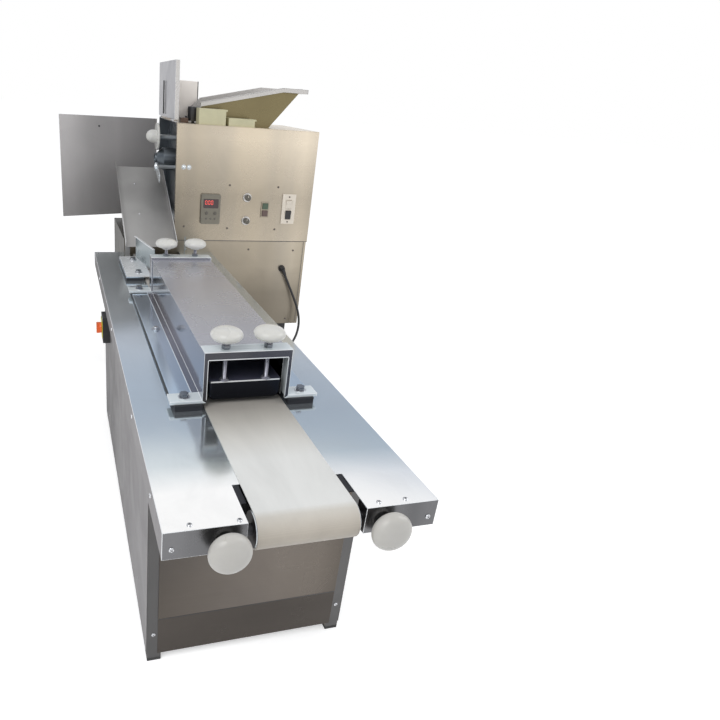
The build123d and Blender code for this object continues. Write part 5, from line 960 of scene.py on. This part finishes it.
# Nodes whose fine edges carry a painted highlight
HIGHLIGHTED = (
    (DECK_STEEL, 0.8, "table_deck"), (TUNNEL_STEEL, 0.8, "tunnel_cover"), (BOARD_IN_SHADE, 1, "pressure_board"),
    (BRIDGE_STEEL, 1, "front_bridge rear_bridge"), (DOOR_STEEL, 0.6, "rear_door"),
    (LID_STEEL, 0.8, "guard_lid"),
)
for looks, highlight_mat in ((DRESSED, None), (HIGHLIGHTED, HIGHLIGHT_STEEL)):
    for mat, bevel, nodes in looks:
        for node in nodes.split():
            dress(node, mat, bevel, highlight_mat)

# Limits between two materials of one solid, in the datum
BASE_FRONT, BASE_SIDE, LEG_IN, PLINTH_TOP = 226, 223.9, 200, 118
DECK_UNDER, APRON_BACK, NOTCH_REACH, NOTCH_FRONT, NOTCH_TOP = 526, 1, 102.5, 0.5, 529
DRUM_END, BEARING_TOP, COVER_TOP = 87, 560, 649
BRIDGE_SIDE, BRIDGE_FOOT, LIP_DEEP = (94.5, 95.5), 551.5, 0.5
BOARD_TOP, NUT_LOW = BOARD_HIGH.z - 0.1, 554
CABINET_LEFT, CABINET_TOP, REAR_FACE, ROOF_LEFT = 60, 579, 2163.5, 81
HOPPER_WALL_Y, HOPPER_WALL_T, ROLLER_ENDS, WHEEL_HUB = 1806, 0.3, (1814, 2086), 41
GUIDE_REAR, GUIDE_EDGE_LOW, GUIDE_EDGE_HIGH, GUIDE_TOP = 1580, 549, 626, 632
CHUTE_FOOT, CHUTE_DIR = (1598, 580), (0.864, 0.503)
CHUTE_RIM_X, CHUTE_RIM_Y, CHUTE_RIM_H = 69.5, 1700, 23
SHIELD_FOLD = 236


def on_chute(c):
    """Height over the chute's sheet, square to it."""
    return (c.z - CHUTE_FOOT[1]) * CHUTE_DIR[0] - (c.y - CHUTE_FOOT[0]) * CHUTE_DIR[1]


PAINTED = (
    ("base_frame base_panels", LEG_STEEL, lambda c: c.y < BASE_FRONT and abs(c.x) > LEG_IN),
    ("base_frame base_panels", SIDE_STEEL, lambda c: abs(c.x) > BASE_SIDE and c.y > BASE_FRONT),
    ("base_panels", PLINTH_STEEL, lambda c: c.y < BASE_FRONT and c.z < PLINTH_TOP),
    # Painted reflection: the deck's folds darker than its top, the front fold darkest
    ("table_deck", SIDE_STEEL, lambda c: c.z < DECK_UNDER),
    ("table_deck", APRON_DARK_REFLECTION, lambda c: c.z < DECK_UNDER and c.y < APRON_BACK),
    # Painted shade: the walls of the front notch in black
    ("table_deck", MATT_BLACK_AND_SHADE, lambda c: (
        abs(c.x) < NOTCH_REACH and NOTCH_FRONT < c.y < NOTCH_REACH and c.z < NOTCH_TOP)),
    ("front_roller", DARK_STEEL, lambda c: abs(c.x) > DRUM_END),
    ("bearing_blocks", DARK_STEEL, lambda c: c.z < BEARING_TOP),
    ("tunnel_cover", COVER_STEEL, lambda c: c.z > COVER_TOP),
    # Painted shade: the board's top a little lighter than its front
    ("pressure_board", BOARD_TOP_IN_SHADE, lambda c: c.z > BOARD_TOP),
    ("bridge_bolts", NUT_STEEL, lambda c: c.z > NUT_LOW),
    # Painted shade on the lower cabinet's left face and top
    ("lower_cabinet", SHADED_CABINET_STEEL, lambda c: c.x < CABINET_LEFT or c.z > CABINET_TOP),
    # Painted shade on the inner faces of the rear frame
    ("head_rear_frame", SHADED_MACHINE_STEEL, lambda c: c.y < REAR_FACE),
    ("head_roof", DARK_STEEL, lambda c: c.x < ROOF_LEFT),
    ("hopper", RIM_STEEL, lambda c: abs(c.y - HOPPER_WALL_Y) > HOPPER_WALL_T),
    ("feed_roller_left feed_roller_right", DARK_STEEL,
     lambda c: c.y < ROLLER_ENDS[0] or c.y > ROLLER_ENDS[1]),
    ("hand_wheel", BRIGHT_STEEL, lambda c: c.x > WHEEL_HUB),
    ("chute", GUIDE_STEEL, lambda c: c.y < GUIDE_REAR and c.z < GUIDE_TOP),
    # Painted highlights: the guides' feet, the left guide's top edge and the top edge of the chute's right
    # wall
    ("chute", HIGHLIGHT_STEEL, lambda c: (
        c.y < GUIDE_REAR and (c.z < GUIDE_EDGE_LOW or c.x < 0 and GUIDE_EDGE_HIGH < c.z < GUIDE_TOP))),
    ("chute", HIGHLIGHT_STEEL, lambda c: c.x > CHUTE_RIM_X and c.y > CHUTE_RIM_Y and on_chute(c) > CHUTE_RIM_H),
    ("guard_lid", RIM_STEEL, lambda c: c.y < LID_LOW.y + LIP_DEEP),
    # Painted shade on the shield's folded right flange
    ("side_shield", DARK_STEEL, lambda c: c.x > SHIELD_FOLD),
)
for nodes, mat, test in PAINTED:
    for node in nodes.split():
        paint(node, mat, test)
# Painted shade and painted reflection: the bridges' inner sides and the front faces of their lips take
# darker steels than their tops
for node, lip in (("front_bridge", PAINTED_DARK_LIP), ("rear_bridge", TUNNEL_STEEL)):
    lip_y = datum_box(node)[0].y + LIP_DEEP
    paint(node, TUNNEL_STEEL, lambda c: BRIDGE_SIDE[0] < abs(c.x) < BRIDGE_SIDE[1] and c.z > BRIDGE_FOOT)
    paint(node, lip, lambda c: c.y < lip_y and c.z > BRIDGE_FOOT)

# Painted highlights along the edges of the front bridge and the board, the shield's fold in painted shade
# and the door's hole
EDGE_OVER = 0.2
BRIDGE_IN, BRIDGE_HIGHLIGHT_T, BRIDGE_IN_Z, BRIDGE_TOP = 86, 1.4, (551.2, 640), 642
BOARD_HALF, BOARD_HIGHLIGHT_H = 76, 2.8
FOLD_W, FOLD_LIFT = 3.6, 2
DOOR_SPOT, DOOR_NORMAL = (-187, 2075, 978), (0.352, -0.936, 0)
DOOR_HOLE = ((0, 0), (4, 0), (4, 0.4), (0, 0.4))


def edge_y(front, proud=0.4, deep=1):
    """Depth of a strip that stands a little proud of a front face."""
    return (front - proud, front + deep)


bridge_y = edge_y(BRIDGE_LOW.y)
bridge_out = BRIDGE_IN + BRIDGE_HIGHLIGHT_T
bridge_highlights = [
    box_data((-BRIDGE_IN, BRIDGE_IN), bridge_y, (BRIDGE_IN_Z[1], BRIDGE_TOP)),
    box_data((-bridge_out, -BRIDGE_IN), bridge_y, BRIDGE_IN_Z),
    box_data((BRIDGE_IN, bridge_out), bridge_y, BRIDGE_IN_Z),
]
piece("bridge_highlights", bridge_highlights, HIGHLIGHT_STEEL, bevel=0.1)
board_z = (BOARD_HIGH.z - BOARD_HIGHLIGHT_H, BOARD_HIGH.z + EDGE_OVER)
board_highlight = box_data((-BOARD_HALF, BOARD_HALF), edge_y(BOARD_LOW.y), board_z)
piece("board_highlight", board_highlight, HIGHLIGHT_STEEL, body="board", bevel=0.2)
# Painted shade: a dark strip down the shield's fold
fold_x = (SHIELD_HIGH.x - FOLD_W, SHIELD_HIGH.x + EDGE_OVER)
fold_z = (SHIELD_LOW.z + FOLD_LIFT, SHIELD_HIGH.z + EDGE_OVER)
piece("shield_fold_shade", box_data(fold_x, edge_y(SHIELD_LOW.y), fold_z), DARK_STEEL, bevel=0.2)
door_hole = lathe(DOOR_HOLE, DOOR_SPOT, DOOR_NORMAL, 24)
piece("door_hole", door_hole, DARK_STEEL, "door")

# Rivets of the chute and bolts of the rails
RIVETS, RIVET_R, RIVET_H = ((-56, 1922, 768.9), (-55, 1760, 674.4)), 4, 1.6
RAIL_BOLT_X, RAIL_BOLT_Y = 127, 810
BOLT_WASHER = ((5, 0), (12, 0), (12, 1.6), (5, 1.6))
BOLT_HEAD = ((0, 1.6), (7.5, 1.6), (7.5, 6.4), (6.6, 7.4), (3.6, 7.4), (3.6, 4), (0, 4))
chute_normal = (0, -CHUTE_DIR[1], CHUTE_DIR[0])
rivets = [screw_data(place, chute_normal, RIVET_R, RIVET_H) for place in RIVETS]
piece("chute_rivets", rivets, SCREW_STEEL, smooth=40)
rail_bolts = [
    lathe(profile, (side * RAIL_BOLT_X, RAIL_BOLT_Y, RAIL_TOP), Z_AXIS, 32)
    for hand, side in SIDES for profile in (BOLT_WASHER, BOLT_HEAD)
]
piece("rail_bolts", rail_bolts, SCREW_STEEL, smooth=30)

# Folded lip that hangs from the hopper's rim
RIM_Z, RIM_BEND_X, RIM_DROP, RIM_T = 1178, 520, 16, 1.5
RIM_LEVEL = ((RIM_BEND_X, RIM_Z), (HOPPER_HIGH.x, RIM_Z))
NEAR_RIM = ((HOPPER_LOW.x, 1103), *RIM_LEVEL)
FAR_RIM = ((245, 1116.8), *RIM_LEVEL)


def rim_data(line, y):
    """The lip below a line of (x, z), its back at y."""
    parts = []
    for (x0, z0), (x1, z1) in zip(line, line[1:]):
        outline = ((x0, z0 - RIM_DROP), (x1, z1 - RIM_DROP), (x1, z1), (x0, z0))
        parts.append(prism(outline, (0, y, 0), X_AXIS, Z_AXIS, RIM_T))
    return parts


rim_end = box_data(
    (HOPPER_HIGH.x - RIM_T, HOPPER_HIGH.x), (HOPPER_LOW.y, HOPPER_HIGH.y), (RIM_Z - RIM_DROP, RIM_Z))
rims = rim_data(NEAR_RIM, HOPPER_LOW.y + RIM_T) + rim_data(FAR_RIM, HOPPER_HIGH.y)
piece("hopper_rim", rims + [rim_end], RIM_STEEL, bevel=0.3)

# Dark seams between the sheets, and black edging round the lid's slot
SEAM_T, BASE_FRONT_Y = 0.3, datum_box("base_panels")[0].y
SEAMS = (
    ((80, 660), HEAD_Y, (579, 581.2)),
    ((646, 648), HEAD_Y, (215, 578)),
    ((-201, 201), BASE_FRONT_Y, (117.4, 119)),
)
seams = [box_data(x, (y - SEAM_T, y), z) for x, y, z in SEAMS]
piece("panel_seams", seams, DARK_STEEL)
EDGING_OUT, EDGING_IN = 0.6, 2.2
LID_SLOT_Y, LID_SLOT_Z = (2003, 2017), (1047, 1171)


def slot_edging(x, y, z, wall=1.2):
    """Four strips round a slot in an upright sheet."""
    tall = (z[0] - wall, z[1] + wall)
    return [
        box_data(x, (y[0] - wall, y[0]), tall),
        box_data(x, (y[1], y[1] + wall), tall),
        box_data(x, y, (z[0] - wall, z[0])),
        box_data(x, y, (z[1], z[1] + wall)),
    ]


edging = slot_edging((LID_LOW.x - EDGING_OUT, LID_LOW.x + EDGING_IN), LID_SLOT_Y, LID_SLOT_Z)
piece("lid_edging", edging, RUBBER, "lid", 0.4)

# Floor, light and world, in metres
WORLD_LIGHT = 0.72
SKY_STOPS = (
    (0, 1), (0.215, 1), (0.26, (0.74, 0.78, 0.82)), (0.33, (0.66, 0.64, 0.68)),
    (0.42, (0.5, 0.56, 0.65)), (0.51, (0.48, 0.55, 0.65)), (0.545, 1), (1, 0.86),
)
LIGHT_TARGET = Vector((0, 0, 0.6))
LIGHTS = (("key", (-2.2, -2.4, 3.4), 2.2, 70), ("fill", (2.8, -1, 2.4), 2, 30))


def seen_rays(tree):
    """One where the camera, a mirror or glass sends a ray, else nought."""
    path = add_node(tree, "ShaderNodeLightPath", {})
    mirrored = larger(tree, path["Is Camera Ray"], path["Is Glossy Ray"])
    return larger(tree, mirrored, path["Is Transmission Ray"])


def make_stage(half=40, drop=0.0005, tone=0.84, lift=0.5):
    mesh = bpy.data.meshes.new("floor")
    corners = [(half * x, half * y, 0) for x, y in ((-1, -1), (1, -1), (1, 1), (-1, 1))]
    mesh.from_pydata(corners, [], [(0, 1, 2, 3)])
    floor = bpy.data.objects.new("floor", mesh)
    bpy.context.scene.collection.objects.link(floor)
    floor.location.z = -drop
    mat, tree, shader = new_material("floor_paint")
    feed(tree, shader, {
        "Base Color": (tone, tone, tone, 1), "Roughness": 0.8, "Specular IOR Level": 0,
        "Emission Color": (1, 1, 1, 1), "Emission Strength": scaled(tree, seen_rays(tree), lift),
    })
    mesh.materials.append(mat)


def make_world():
    """White near the horizon, a pale cool band above it and a soft ceiling."""
    world = bpy.data.worlds.new("studio")
    bpy.context.scene.world = world
    world.use_nodes = True
    tree = world.node_tree
    sky = ramp(tree, coordinate(tree, "Generated", "Z"), SKY_STOPS)
    level = scaled(tree, seen_rays(tree), 1 - WORLD_LIGHT, WORLD_LIGHT)
    feed(tree, tree.nodes["Background"], {"Color": sky, "Strength": level})


def area_light(name, place, size, power):
    data = bpy.data.lights.new(name, "AREA")
    data.size = size
    data.energy = power
    obj = bpy.data.objects.new(name, data)
    obj.location = place
    obj.rotation_euler = (LIGHT_TARGET - Vector(place)).to_track_quat("-Z", "Y").to_euler()
    bpy.context.scene.collection.objects.link(obj)


make_stage()
make_world()
for light in LIGHTS:
    area_light(*light)
bpy.context.scene.view_settings.view_transform = "Standard"
